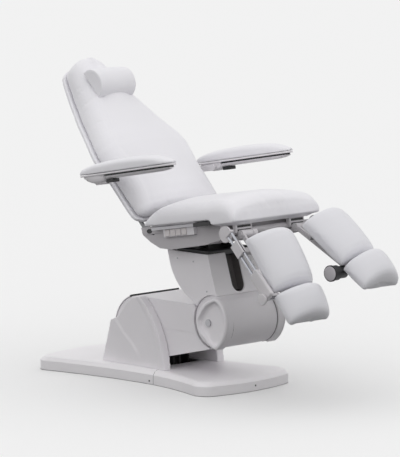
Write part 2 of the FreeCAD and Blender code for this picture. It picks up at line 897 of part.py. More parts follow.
def cut_frame_way(body):
    """Opens a cover where the column's frame plates pass through it."""
    half = size.column_plate_half + size.column_plate_thick + 2 * size.cover_gap
    rear = size.elbow_x - size.drum_radius * 0.8
    front = size.elbow_x + 2 * size.cover_gap
    low = size.elbow_z + size.drum_radius * 0.4
    plan_pad(body, box_path(rear, -half, front, half), low, size.drum_radius, "Pocket")


def make_drum():
    band = size.band_width
    middle = 2 * (size.drum_end - band)
    cover = new_body("drum_cover")
    path = ring_path(ELBOW, size.drum_radius - size.drum_wall, size.drum_radius, -103, 158)
    side_pad(cover, path, ZERO, middle)
    cut_frame_way(cover)
    caps = []
    for side in (-1, 1):
        y = side * (size.drum_end - band / 2)
        disc = cylinder("cap_disc", WORLD, (ELBOW[0], y, ELBOW[1]), "y", size.drum_radius, band)
        recess_y = side * (size.drum_end - size.shell_wall / 2)
        radius = size.drum_radius * 0.62
        tip = polar(*ELBOW, size.drum_radius * 0.93, -69)
        left = polar(*ELBOW, radius, 195)
        right = polar(*ELBOW, radius, 22)
        shield = flat_plate(
            "cap_recess",
            [left, Via(*polar(*ELBOW, radius, 108)), right, tip],
            float(recess_y),
            float(size.shell_wall) * 1.02,
        )
        hollow_y = side * (size.drum_end - band + band * 0.3)
        hollow = cylinder(
            "cap_hollow", WORLD, (ELBOW[0], hollow_y, ELBOW[1]), "y",
            size.drum_radius - size.drum_wall, band * 0.6,
        )
        hollowed = cut("cap_shell", disc, hollow)
        recessed = cut("cap_recessed", hollowed, shield)
        caps.append(recessed)
    group("drum_end_caps", caps)
    width = 2 * (size.drum_end - band * 0.4)
    shaft = cylinder("elbow_shaft", WORLD, (ELBOW[0], ZERO, ELBOW[1]), "y", size.shaft_radius, width)
    node(shaft, "elbow_shaft")


def column_seam(z):
    """The seam between the column's two covers, along its front edge."""
    share = float((size.column_top - z) / (size.column_top - size.slot_low))
    return size.column_seam + size.column_lean * share, z


def column_path(inset, top):
    """Side outline of the column's rear cover, open to the front at its seam."""
    drum = size.drum_radius + size.cover_gap * 0.3 + inset
    seam_low = polar(*ELBOW, drum, 81.7)
    lift = (float(top) - float(size.column_top))
    return [
        (size.column_rear + inset, size.column_top + lift),
        (size.column_heel + inset, size.column_heel_rise),
        Via(size.column_waist + inset * 0.8, size.column_waist_rise + inset * 0.7),
        (size.column_knee + inset * 0.6, size.column_knee_rise + inset),
        polar(*ELBOW, drum, 149.5),
        Via(*polar(*ELBOW, drum, 115)),
        (seam_low[0], seam_low[1]),
        (size.column_seam, size.column_top + lift),
    ]


def make_column_covers():
    rear = new_body("column_cover")
    side_pad(rear, column_path(ZERO, size.column_top), ZERO, 2 * size.column_half)
    inner = column_path(size.shell_wall, size.column_top + size.overrun)
    seam_low = inner[6]
    inner[6] = (seam_low[0] + 3 * float(size.shell_wall), seam_low[1])
    inner[7] = (size.column_seam + float(size.overrun) * 2, inner[7][1])
    side_pad(rear, inner, ZERO, 2 * (size.column_half - size.shell_wall), "Pocket")
    cut_frame_way(rear)
    front = new_body("column_front_cover")
    drum = size.drum_radius + size.cover_gap * 0.3
    seam_gap = float(size.fit_gap) * 6
    foot = polar(*ELBOW, drum, 81.4)
    toe = polar(*ELBOW, drum, 78.6)
    path = [
        (size.column_seam + seam_gap, size.column_top),
        foot,
        Via(*polar(*ELBOW, drum, 80)),
        toe,
        (size.column_seam + size.column_band + seam_gap, size.column_top),
    ]
    side_pad(front, path, ZERO, 2 * size.column_half)
    half = size.slot_width / 2
    slot = [
        (-half, size.slot_low + half),
        Via(ZERO, size.slot_low),
        (half, size.slot_low + half),
        (half, size.column_top + size.overrun),
        (-half, size.column_top + size.overrun),
    ]
    front_pad(front, slot, size.elbow_x - size.slot_width, size.slot_width * 1.8, "Pocket")


def make_slot_liner():
    """Dark channel behind the slot in the column's front."""
    body = new_body("slot_liner")
    wall = size.shell_wall
    low = size.slot_low + size.soft_gap
    depth = size.slot_width * 0.6
    for inset, kind, width in ((ZERO, "Pad", size.slot_width + 2 * wall), (wall, "Pocket", size.slot_width)):
        overrun = ZERO if kind == "Pad" else size.overrun
        bottom = low - overrun
        top = size.column_top - wall + overrun * 2
        path = [
            (column_seam(bottom)[0] - depth + inset, bottom),
            (column_seam(bottom)[0] + overrun, bottom),
            (column_seam(top)[0] + overrun, top),
            (column_seam(top)[0] - depth + inset, top),
        ]
        side_pad(body, path, ZERO, width, kind)


def make_column_frame():
    """Two welded plates from the elbow to the seat's tilt pin, with lugs for the tie rods."""
    plates = []
    tie = tie_point(ELBOW)
    for side in (-1, 1):
        y = side * (size.column_plate_half + size.column_plate_thick / 2)
        outline = link_path(ELBOW, 2.3 * size.shaft_radius, TILT_PIVOT, 1.35 * size.shaft_radius)
        holes = [(*ELBOW, size.shaft_radius), (*TILT_PIVOT, size.shaft_radius * 0.7)]
        plates.append(flat_plate("column_plate", outline, y, size.column_plate_thick, holes))
        lug = link_path(ELBOW, 2 * size.tie_pin, tie, 2 * size.tie_pin)
        plates.append(flat_plate("tie_lug", lug, y, size.column_plate_thick, [(*ELBOW, size.shaft_radius)]))
        reach = size.arm_plate_half + size.arm_plate_thick - size.column_plate_half
        pin_y = side * (size.column_plate_half + reach / 2)
        plates.append(cylinder("tie_lug_pin", WORLD, (tie[0], pin_y, tie[1]), "y", size.tie_pin, reach))
    for share in (0.42, 0.72):
        x = ELBOW[0] * (1 - share) + TILT_PIVOT[0] * share
        z = ELBOW[1] * (1 - share) + TILT_PIVOT[1] * share
        reach = size.column_half - size.shell_wall
        plates.append(cylinder("column_cross_tube", WORLD, (x, ZERO, z), "y", size.shaft_radius, 2 * reach))
    node(join("column_frame", plates), "column_frame")
    pin = cylinder(
        "tilt_pin", WORLD, (TILT_PIVOT[0], ZERO, TILT_PIVOT[1]), "y",
        size.shaft_radius * 0.7, 2 * (size.column_plate_half + size.column_plate_thick + size.rail_size / 2),
    )
    node(pin, "tilt_pin")


def make_column_screws():
    heads = []
    for along, up in SCREW_SHARES:
        x = size.column_rear + (size.column_seam - size.column_rear) * along
        z = size.elbow_z + (size.column_top - size.elbow_z) * up
        for side in (-1, 1):
            y = side * (size.column_half + size.shell_wall / 4)
            thick = size.shell_wall / 2
            heads.append(cylinder("column_screw", WORLD, (x, y, z), "y", size.shell_wall, thick))
    group("column_screws", heads)


def make_column():
    make_column_frame()
    make_drum()
    make_column_covers()
    make_slot_liner()
    make_column_screws()


def make_seat_frame():
    """Welded frame: two rails, cross bars, tilt lugs and hinge ears with their pins."""
    parts = []
    rail = size.rail_size
    top = -size.board_thick
    front = size.seat_length * BOARD_SHARE
    for side in (-1, 1):
        y = side * size.rail_half
        low_y = y - rail / 2
        parts.append(block("rail", SEAT, (rail * 0.2, low_y, top - rail), (front, low_y + rail, top)))
        lug_y = size.column_plate_half + size.column_plate_thick + size.cover_gap / 2
        lug_low = lug_y if side > 0 else -lug_y - size.column_plate_thick
        high_y = lug_low + size.column_plate_thick
        lug_half = size.shaft_radius
        parts.append(
            block(
                "tilt_lug", SEAT,
                (size.tilt_x - lug_half, lug_low, -size.tilt_z - lug_half),
                (size.tilt_x + lug_half, high_y, top),
            )
        )
    for x in (size.tilt_x - rail / 2, size.seat_length * 0.55, front - rail * 1.4):
        reach = size.rail_half
        parts.append(block("cross_bar", SEAT, (x, -reach, top - rail * 0.7), (x + rail, reach, top)))
    ear = size.shaft_radius * 1.2
    reach = size.hull_half - size.shell_wall - size.cover_gap * 1.5 - size.frame_thick
    pin_length = size.column_plate_thick + size.frame_thick + size.cover_gap * 1.5 + size.shell_wall * 0.6
    for side in (-1, 1):
        low_y = reach - size.column_plate_thick if side > 0 else -reach
        high_y = low_y + size.column_plate_thick
        parts.append(
            block(
                "hinge_ear", SEAT,
                (-size.hinge_x - ear, low_y, -size.hinge_z - ear),
                (rail * 1.2, high_y, top),
            )
        )
        pin_y = side * (reach - size.column_plate_thick + pin_length / 2)
        centre = (-size.hinge_x, pin_y, -size.hinge_z)
        parts.append(cylinder("hinge_pin", SEAT, centre, "y", size.shaft_radius * PIN_SHARE, pin_length))
    parts.append(block("rear_bar", SEAT, (rail * 0.2, -reach, top - rail * 0.7), (rail * 1.2, reach, top)))
    frame = join("seat_frame_blank", parts)
    bore = size.shaft_radius * PIN_SHARE + size.fit_gap
    tilt_bore = cylinder("tilt_bore", SEAT, (size.tilt_x, ZERO, -size.tilt_z), "y", bore, 2 * size.hull_half)
    node(cut("seat_frame", frame, tilt_bore), "seat_frame")


def make_hull():
    """Moulded tub under the seat, open on top, with an opening for the column's head."""
    body = new_body("seat_hull", SEAT)
    low = -size.hull_depth
    top = -size.board_thick

    def hull_path(inset, lift):
        return [
            (inset * 2 - size.hull_rear, top + lift),
            (inset * 1.4 - size.hull_shoulder, inset * 0.5 - size.hull_shoulder_drop),
            (inset * 0.8 - size.hull_belly, inset - size.hull_belly_drop),
            (size.hull_heel + inset * 0.4, low * 0.89 + inset),
            (size.hull_flat_start, low + inset),
            (size.hull_flat_end, low * 0.955 + inset),
            (size.hull_toe - inset, low * 0.82 + inset),
            (size.hull_nose - inset, low * 0.5),
            (size.hull_front - inset, top + lift),
        ]

    side_pad(body, hull_path(ZERO, ZERO), ZERO, 2 * size.hull_half)
    inner_width = 2 * (size.hull_half - size.shell_wall)
    side_pad(body, hull_path(size.shell_wall, size.overrun), ZERO, inner_width, "Pocket")
    half = size.column_plate_half + size.rail_size
    opening = box_path(size.tilt_x - size.slot_width * 0.8, -half, size.tilt_x + size.slot_width, half)
    plan_pad(body, opening, low - size.overrun, 6 * size.overrun, "Pocket")
    pin_hole = (-size.hinge_x, -size.hinge_z, size.shaft_radius * PIN_SHARE + size.cover_gap / 2)
    side_pad(body, None, ZERO, 3 * size.hull_half, "Pocket", [pin_hole])
    pivot = leg_pivot_in_seat()
    for side in (-1, 1):
        reach = size.rail_size * 0.6
        edges = sorted((side * (size.rail_half - reach), side * (size.rail_half + reach)), key=float)
        notch = box_path(edges[0], pivot.z, edges[1], top + size.overrun)
        front_pad(body, notch, size.hull_toe - size.shell_wall * 3, 8 * size.overrun, "Pocket")
        inner = size.hull_half - size.shell_wall
        edges = sorted((side * (inner - size.frame_thick - 2 * size.cover_gap), side * inner), key=float)
        way = box_path(edges[0], -size.hull_belly_drop * 0.85, edges[1], top + size.overrun)
        front_pad(body, way, -size.hull_rear - size.overrun, size.hull_rear - size.hull_belly, "Pocket")


def leg_pivot_in_seat():
    """The pivot line of the legs, in the seat's frame."""
    return SEAT.inverse().multVec(vector(LEG_X, 0, size.leg_z))


def make_seat_board():
    board = block(
        "seat_board", SEAT,
        (size.rail_size * 0.2, -size.seat_half * 0.86, -size.board_thick),
        (size.seat_length * BOARD_SHARE, size.seat_half * 0.86, ZERO - size.soft_gap),
    )
    node(board, "seat_board")


def crowned_wire(axis, place, half, low, high, crown, bulge):
    """A closed section: flat below, bulged sides, domed top, across y."""
    narrow = half - bulge * 1.3
    middle = (low + high) / 2
    spots = [(-half * 0.97, low), (half * 0.97, low), (half, middle), (narrow, high), (0, high + crown)]
    spots += [(-narrow, high), (-half, middle)]

    def point(y, z):
        if axis == "x":
            return FreeCAD.Vector(place, y, z)
        return FreeCAD.Vector(z, y, place)

    p = [point(*spot) for spot in spots]
    edges = [
        Part.LineSegment(p[0], p[1]).toShape(),
        Part.Arc(p[1], p[2], p[3]).toShape(),
        Part.Arc(p[3], p[4], p[5]).toShape(),
        Part.Arc(p[5], p[6], p[0]).toShape(),
    ]
    return Part.Wire(edges)


def stations(count):
    """Shares of a length, close together at both ends, for the sections of a pad."""
    shares = [(1 - math.cos(math.pi * index / count)) / 2 for index in range(count + 1)]
    shares[0] = shares[1] * 0.12
    shares[-1] = 1 - shares[0]
    return shares


def fullness(share, power):
    """How full a pad with rounded ends is at a share of its length, from 0 to 1."""
    return (1 - abs(2 * share - 1) ** power) ** (1 / power)


def smooth_share(known, share):
    """A smooth curve through pairs of shares, read at one share."""
    slopes = []
    for index in range(len(known)):
        before = known[max(index - 1, 0)]
        after = known[min(index + 1, len(known) - 1)]
        slopes.append((after[1] - before[1]) / (after[0] - before[0]))
    index = max(i for i in range(len(known) - 1) if known[i][0] <= share)
    (start, first), (stop, last) = known[index], known[index + 1]
    span = stop - start
    part = (share - start) / span
    value = first * (1 + 2 * part) * (1 - part) ** 2 + last * part**2 * (3 - 2 * part)
    value += span * slopes[index] * part * (1 - part) ** 2
    return value - span * slopes[index + 1] * part**2 * (1 - part)


def soft_node(label, frame, wires, ruled=False):
    """A padded piece lofted through its sections."""
    piece = doc.addObject("Part::Feature", label)
    piece.Shape = Part.makeLoft(wires, True, ruled)
    piece.Placement = frame
    return node(piece, label)


def make_seat_cushion():
    length = float(size.seat_length)
    half = float(size.seat_half)
    thick = float(size.seat_thick)
    crown = float(size.seat_crown)
    bulge = crown * 0.7
    lip = float(size.seat_lip)
    lip_start = 1 - float(size.seat_lip_length) / length
    wires = []
    for share in stations(30):
        wide = fullness(share, 9)
        full = fullness(share, 5)
        drop = min(1, max(0, (share - lip_start) / (0.25 * (1 - lip_start)) + 0.5))
        bottom = thick * 0.42 * (1 - full) - lip * drop * full
        top = thick * (0.42 + 0.58 * full)
        wires.append(crowned_wire("x", length * share, half * wide, bottom, top, crown * full, bulge * wide))
    soft_node("seat_cushion", SEAT, wires, ruled=True)


def make_controls():
    """White housing on the seat's right side with its row of rocker keys."""
    outer = size.hull_half + size.key_height / 2
    first = size.key_first - size.key_width * 0.9
    last = size.key_first + size.key_pitch * size.key_count + size.key_width * 0.9
    low = -size.key_height * 1.45
    high = -size.board_thick - size.fit_gap
    middle = (low + high) / 2
    gap = size.cover_gap / 2
    depth = size.key_height * 0.35
    key_y = -(outer - depth / 2 + size.key_travel)
    half = size.key_width / 2
    rise = size.key_height * 0.42
    housing = block("control_housing", SEAT, (first, -outer, low), (last, ZERO - size.hull_half, high))
    windows = []
    for index in range(int(float(size.key_count))):
        centre = size.key_first + size.key_pitch * index
        windows.append(
            block(
                "key_window", SEAT,
                (centre - half - gap, -outer - size.overrun, middle - rise - gap),
                (centre + half + gap, depth - outer, middle + rise + gap),
            )
        )
        axle = size.key_axle + size.fit_gap
        windows.append(cylinder("axle_bore", SEAT, (centre, key_y, middle), "x", axle, 2 * half + 5 * gap))
        face = block(
            "key_face", SEAT,
            (centre - half, key_y - depth / 2, middle - rise),
            (centre + half, key_y + depth / 2, middle + rise),
        )
        spindle = cylinder("key_axle", SEAT, (centre, key_y, middle), "x", size.key_axle, 2 * half + 4 * gap)
        label = f"control_key_{index + 1}"
        node(join(label, [face, spindle]), label)
    node(cut("control_box", housing, join("key_windows", windows)), "control_box")


def make_front_tube():
    """Cross tube under the seat's front edge with a rounded plate at each end."""
    reach = size.seat_half * 0.995
    pivot = leg_pivot_in_seat()
    tube_x = pivot.x - float(size.tube_back)
    tube_z = pivot.z + float(size.tube_rise)
    parts = [
        cylinder("front_tube", SEAT, (tube_x, ZERO, tube_z), "y", size.leg_tube * 0.8, 2 * reach),
    ]
    low = tube_z - float(size.tube_rise) * 0.6
    for side in (-1, 1):
        centre = (pivot.x - float(size.tube_back) * 0.46, side * reach, tube_z - float(size.tube_rise) / 2)
        parts.append(cylinder("tube_plate", SEAT, centre, "y", size.leg_tube * 2, size.bush_wall * 2))
        low_y = side * size.rail_half - size.rail_size / 2
        rear = size.seat_length * BOARD_SHARE - size.rail_size * 1.3
        high = -size.board_thick - size.rail_size
        high_y = low_y + size.rail_size
        parts.append(block("tube_hanger", SEAT, (rear, low_y, low), (tube_x, high_y, high)))
        turns = [(AXIS_Y, -size.seat_tilt), (AXIS_Z, side * size.splay_angle)]
        level = frame_at(LEG_X, side * size.leg_y, size.leg_z, *turns)
        hub = size.leg_tube
        centre = (-size.tube_back, ZERO, -hub * 0.35)
        parts.append(cylinder("swivel_pin", level, centre, "z", SWIVEL_SHARE * hub, hub * 2.1))
    node(join("front_cross_tube", parts), "front_cross_tube")


def make_seat():
    make_seat_frame()
    make_hull()
    make_seat_board()
    make_seat_cushion()
    make_controls()
    make_front_tube()


def make_back_shell():
    """Padded rear shell of the backrest, deeper toward the head, behind the cushion."""
    length = float(size.back_length - size.back_start)
    front = -float(size.bush_wall)
    wires = []
    for share in stations(32):
        place = float(size.back_start) + length * share
        outer = float(size.back_half) * smooth_share(BACK_OUTLINE_SHARES, share)
        depth = float(size.shell_thick) * smooth_share(SHELL_DEPTH_SHARES, share)
        bevel = depth * 0.3
        inner = max(outer - bevel, outer * 0.3)
        rear = front - depth
        spots = [(front, -outer), (front, outer), (rear + bevel, outer)]
        spots += [(rear, inner), (rear, -inner), (rear + bevel, -outer), (front, -outer)]
        wires.append(Part.makePolygon([FreeCAD.Vector(x, y, place) for x, y in spots]))
    soft_node("back_shell", BACK, wires, ruled=True)


def make_back_cushion():
    """Front cushion of the backrest, deepest at the waist, with a crowned face."""
    crown = float(size.cushion_crown)
    length = float(size.back_length - size.back_start)
    low = -float(size.bush_wall) + float(size.soft_gap)
    wires = []
    for share in stations(32):
        wide = smooth_share(BACK_OUTLINE_SHARES, share)
        rise = min(1.0, 0.35 + min(share * 22, (1 - share) * 14))
        half = float(size.back_half) * wide
        bulge = min(crown * 0.8, half * 0.25)
        thick = float(size.cushion_thick) * smooth_share(CUSHION_DEPTH_SHARES, share)
        top = low + (thick - low) * rise
        dome = crown * rise * min(1, wide * 1.6)
        wires.append(crowned_wire("z", float(size.back_start) + length * share, half, low, top, dome, bulge))
    soft_node("back_cushion", BACK, wires, ruled=True)


def make_back_frame():
    """Welded frame behind the shell: two hinge arms and two cross bars."""
    parts = []
    hinge = BACK.inverse().multVec(SEAT.multVec(vector(-size.hinge_x, 0, -size.hinge_z)))
    rear = -float(size.shell_thick + size.bush_wall)
    thick = float(size.frame_thick)
    reach = float(size.hull_half - size.shell_wall - size.cover_gap / 2) - thick
    ear = float(size.shaft_radius) * 1.3
    lobe = float(size.shaft_radius)
    pin = size.shaft_radius * 0.7
    for side in (-1, 1):
        y = side * (reach + thick / 2)
        outline = [
            (hinge.x + lobe, hinge.z),
            (rear, hinge.z + ear * 3.4),
            (rear, hinge.z + ear * 22),
            (rear - thick, hinge.z + ear * 22),
            (rear - thick, hinge.z + ear * 2.2),
            (hinge.x - lobe, hinge.z),
            Via(hinge.x, hinge.z - lobe),
        ]
        plate = flat_plate("hinge_arm", outline, y, thick, [(hinge.x, hinge.z, pin + size.fit_gap)])
        plate.Placement = BACK
        parts.append(plate)
    for share in (8, 20):
        low = hinge.z + ear * share
        parts.append(block("back_bar", BACK, (rear - thick, -reach, low), (rear, reach, low + 2 * ear)))
    node(join("back_frame", parts), "back_frame")
    brackets = []
    for side in (-1, 1):
        pivot = BACK.inverse().multVec(vector(-size.arm_x, side * size.arm_y, size.arm_z))
        outer = float(size.arm_y - size.arm_pad_width / 2 - size.cover_gap)
        wing = float(size.arm_pin)
        level = hinge.z + ear * 16.5
        bar = sorted((side * (reach + thick), side * outer))
        low_corner = (rear - thick, bar[0], level - ear)
        shape = [block("bracket_bar", BACK, low_corner, (rear, bar[1], level + ear))]
        outline = link_path((rear - thick / 2, level), thick, (pivot.x, pivot.z), thick * 1.15)
        plate = flat_plate("bracket_wing", outline, side * (outer - wing / 2), wing)
        plate.Placement = BACK
        shape.append(plate)
        length = size.arm_pad_width / 2 + size.arm_pin
        y = side * (outer - wing + length / 2)
        shape.append(cylinder("arm_pin", BACK, (pivot.x, y, pivot.z), "y", size.arm_pin, length))
        brackets.append(join("armrest_bracket", shape))
    group("armrest_brackets", brackets)


def make_pillow():
    """Half-round head pillow lying on the cushion."""
    chord = float(size.pillow_chord)
    bulge = float(size.pillow_bulge)
    half = float(size.pillow_half)
    middle = float(size.pillow_low) + chord / 2
    front = float(size.cushion_thick + size.cushion_crown * PILLOW_REST_SHARE + size.soft_gap)
    wires = []
    for share in stations(10):
        scale = fullness(share, 7)
        y = half * (2 * share - 1)
        low = FreeCAD.Vector(front, y, middle - chord / 2 * scale)
        high = FreeCAD.Vector(front, y, middle + chord / 2 * scale)
        crest = FreeCAD.Vector(front + bulge * scale, y, middle)
        wires.append(Part.Wire([Part.LineSegment(high, low).toShape(), Part.Arc(low, crest, high).toShape()]))
    soft_node("head_pillow", BACK, wires)


def make_armrest(name, side):
    frame = arm_frame_of(side)
    shell = new_body(f"{name}_armrest_shell", frame)
    joint = size.arm_joint
    rear = -size.arm_back
    front = size.arm_front
    path = [
        (rear * 0.97, joint),
        Via(rear * 0.93, joint * 0.1),
        (rear * 0.70, -joint * 0.42),
        Via(rear * 0.30, -joint * 0.68),
        (-rear * 0.16, -joint * 0.62),
        (-rear * 0.52, joint * 0.02),
        (front * 0.89, joint * 0.18),
        Via(front * 0.93, joint * 0.45),
        (front * 0.945, joint),
    ]
    side_pad(shell, path, ZERO, size.arm_width)
    inner = -side * size.arm_width / 2
    side_pad(shell, None, inner, size.arm_width, "Pocket", [(ZERO, ZERO, size.arm_pin + size.fit_gap)])
    wires = []
    length = float(size.arm_back + size.arm_front)
    thick = float(size.arm_pad_thick)
    half = float(size.arm_pad_width) / 2
    low = float(joint)
    for share in stations(12):
        wide = fullness(share, 12)
        full = fullness(share, 6) * (0.86 - 0.22 * share**2 - 0.10 * (1 - share) ** 4)
        place = -float(size.arm_back) + length * share
        top = low + thick * full
        crown, bulge = thick * 0.18 * wide, thick * 0.12 * wide
        wires.append(crowned_wire("x", place, half * wide, low, top, crown, bulge))
    soft_node(f"{name}_armrest_pad", frame, wires)


def make_leg(name, side, pitch):
    """One leg support: swivel block, frame with the calf pad, slide, foot pad and knob."""
    frame = leg_frame_of(side, pitch)
    turns = [(AXIS_Y, -size.seat_tilt), (AXIS_Z, side * size.splay_angle)]
    level = frame_at(LEG_X, side * size.leg_y, size.leg_z, *turns)
    pin = size.leg_pin
    hub = size.leg_tube
    back = -size.tube_back
    bar_in = 28
    bar_out = 38
    swivel = [
        tube(
            "swivel_ring", level, (back, ZERO, -hub * 0.82), "z",
            hub * 1.3, SWIVEL_SHARE * hub + size.fit_gap, hub * 0.94,
        ),
        block(
            "swivel_neck", level,
            (back + hub * 1.1, -hub * 0.8, -hub * 1.29),
            (ZERO, hub * 0.8, -hub * 0.35),
        ),
        cylinder("pitch_shaft", level, (ZERO, ZERO, ZERO), "y", pin, 2 * (hub * 2.6)),
        cylinder("swivel_lug", level, (ZERO, ZERO, ZERO), "y", hub * 0.95, 2 * hub),
    ]
    node(join(f"{name}_swivel_block", swivel), f"{name}_swivel_block")
    low = -hub * 0.47
    high = hub * 0.7
    plate_thick = size.column_plate_thick * 0.75
    plate_low = size.pad_low - plate_thick
    calf_end = size.calf_end - hub
    pad_frame = frame.multiply(frame_at(0, 0, 0, (AXIS_Y, size.pad_angle)))
    fall = math.tan(math.radians(float(size.pad_angle)))
    out = side * size.rod_side
    guide_half = size.rod_radius * 1.6
    parts = []
    for turn in (-1, 1):
        first, last = sorted((turn * bar_in, turn * bar_out))
        hub_y = turn * (hub + size.cover_gap / 2 + hub * 0.7)
        parts.append(cylinder("leg_hub", frame, (ZERO, hub_y, ZERO), "y", hub, hub * 1.4))
        parts.append(block("leg_bar", frame, (ZERO, first, low), (calf_end - hub, last, high)))
    for x in (size.calf_start * 1.6, calf_end - 3 * hub):
        riser = size.column_plate_thick
        top = plate_low - x * fall
        half = size.pad_half * 0.6
        parts.append(block("leg_riser", frame, (x, -half, high), (x + riser, half, top + plate_thick * 0.6)))
    half = size.pad_half * 0.7
    parts.append(
        block(
            "calf_plate", pad_frame,
            (size.calf_start * 1.2, -half, plate_low),
            (calf_end, half, ZERO + size.pad_low),
        )
    )
    first, last = sorted((side * bar_in, float(out)))
    parts.append(block("guide_arm", frame, (hub * 4.6, first, low), (hub * 6, last, high)))
    parts.append(
        block(
            "guide_block", frame,
            (hub * 3.6, out - guide_half, size.rod_low - guide_half),
            (hub * 7.2, out + guide_half, size.rod_low + size.rod_spacing + guide_half * 0.6),
        )
    )
    blank = join("leg_frame_blank", parts)
    bores = [cylinder("hub_bore", frame, (ZERO, ZERO, ZERO), "y", pin + size.fit_gap, hub * 12)]
    for rise in (ZERO, size.rod_spacing):
        centre = (hub * 5, out, size.rod_low + rise)
        bores.append(cylinder("rod_bore", frame, centre, "x", size.rod_radius + size.fit_gap, hub * 10))
    node(cut(f"{name}_leg_frame", blank, join("leg_bores", bores)), f"{name}_leg_frame")

    axis_x = size.foot_axis_x
    shaft = size.foot_shaft
    head = size.rod_radius * 1.7
    head_half = size.rod_radius * 1.2
    slide_half = bar_in - size.fit_gap * 2
    slide_low = low + size.cover_gap
    slide_high = high - size.cover_gap
    shaft_out = size.rod_side + head + size.bush_wall
    shaft_in = size.knob_start + size.knob_length
    rod_top = size.rod_low + size.rod_spacing + head
    cap_y = side * (shaft_out + size.bush_wall / 2)
    slide = [
        block(
            "slide_bar", frame,
            (hub * 1.8, -slide_half, slide_low),
            (axis_x - hub, slide_half, slide_high),
        ),
        block(
            "slide_head", frame,
            (axis_x - hub * 1.2, -hub * 0.95, slide_low),
            (axis_x + hub * 0.76, hub * 0.95, slide_high),
        ),
        cylinder(
            "foot_shaft", frame, (axis_x, side * (shaft_out - shaft_in) / 2, ZERO), "y",
            shaft, shaft_out + shaft_in,
        ),
        block(
            "rod_head", frame,
            (axis_x - head * 1.4, out - head_half, -head),
            (axis_x + head * 1.4, out + head_half, rod_top),
        ),
        cylinder("shaft_cap", frame, (axis_x, cap_y, ZERO), "y", hub * 1.26, size.bush_wall),
    ]
    for rise in (ZERO, size.rod_spacing):
        length = axis_x - hub * 0.3
        centre = (hub * 0.3 + length / 2, out, size.rod_low + rise)
        slide.append(cylinder("slide_rod", frame, centre, "x", size.rod_radius, length))
    node(join(f"{name}_foot_slide", slide), f"{name}_foot_slide")

    knuckle = hub * 0.88
    foot = []
    for turn in (-1, 1):
        y = turn * (hub + size.cover_gap / 2 + hub * 0.9)
        foot.append(cylinder("foot_hub", frame, (axis_x, y, ZERO), "y", knuckle, hub * 1.8))
        spots = (turn * (hub + size.cover_gap / 2), turn * (hub * 2.8 + size.cover_gap / 2))
        first, last = sorted(spots, key=float)
        web_top = plate_low - (axis_x + hub) * fall + plate_thick * 0.6
        low_corner = (axis_x, first, -knuckle * 0.4)
        foot.append(block("foot_web", frame, low_corner, (axis_x + hub * 1.8, last, web_top)))
    half = size.pad_half * 0.7
    foot.append(
        block(
            "foot_plate", pad_frame,
            (axis_x + hub * 0.95, -half, plate_low), (size.foot_end - hub, half, ZERO + size.pad_low),
        )
    )
    bore = cylinder("foot_bore", frame, (axis_x, ZERO, ZERO), "y", shaft + size.fit_gap, hub * 8)
    node(cut(f"{name}_foot_plate", join("foot_plate_blank", foot), bore), f"{name}_foot_plate")

    middle = -side * (size.knob_start + size.knob_length / 2)
    rim_y = -side * (size.knob_start + size.knob_length - size.bush_wall)
    grip = [
        cylinder("knob_grip", frame, (axis_x, middle, ZERO), "y", size.knob_radius, size.knob_length),
        cylinder("knob_cap", frame, (axis_x, rim_y, ZERO), "y", size.knob_radius * 1.09, 2 * size.bush_wall),
    ]
    knob_bore = cylinder(
        "knob_bore", frame, (axis_x, middle, ZERO), "y",
        shaft + size.fit_gap, size.knob_length * 1.5,
    )
    node(cut(f"{name}_foot_knob", join("knob_blank", grip), knob_bore), f"{name}_foot_knob")

    low = float(size.pad_low + size.soft_gap)
    half = float(size.pad_half)
    thick = float(size.pad_thick)
    for label, start, stop, power, taper in (
        ("calf_pad", size.calf_start, size.calf_end, 7, 0.16),
        ("foot_pad", size.foot_start, size.foot_end, 6, 0.22),
    ):
        wires = []
        for share in stations(10):
            place = float(start) + float(stop - start) * share
            wide = fullness(share, power)
            full = fullness(share, power - 2) * (1 - taper * share**2)
            top = low + thick * 0.70 * full
            crown, bulge = thick * 0.30 * full, half * 0.07 * wide
            wires.append(crowned_wire("x", place, half * wide, low, top, crown, bulge))
        soft_node(f"{name}_{label}", pad_frame, wires)


def make_backrest():
    make_back_frame()
    make_back_shell()
    make_back_cushion()
    make_pillow()


make_base()
make_pivot_brackets()
make_tie_rods()
make_lift_actuator()
make_arm_frame()
make_arm_covers()
make_column()
make_seat()
make_backrest()
for name, side in SIDES:
    make_armrest(name, side)
make_leg("right", -1, size.right_leg_angle)
make_leg("left", 1, size.left_leg_angle)


def report_bad():
    doc.recompute()
    bad = []
    for item in doc.Objects:
        if "Invalid" in item.State or "Error" in item.State:
            bad.append(item.Label)
    for item in nodes:
        if item.Shape.isNull() or not item.Shape.isValid():
            bad.append(item.Label)
    return bad


bad = report_bad()
if bad:
    raise RuntimeError("these pieces failed: " + ", ".join(bad))
os.makedirs("parts", exist_ok=True)
for item in nodes:
    item.Shape.exportStep(f"parts/{item.Label}.step")
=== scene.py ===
import math
import bpy
import bmesh
import numpy as np
from mathutils import Matrix, Vector


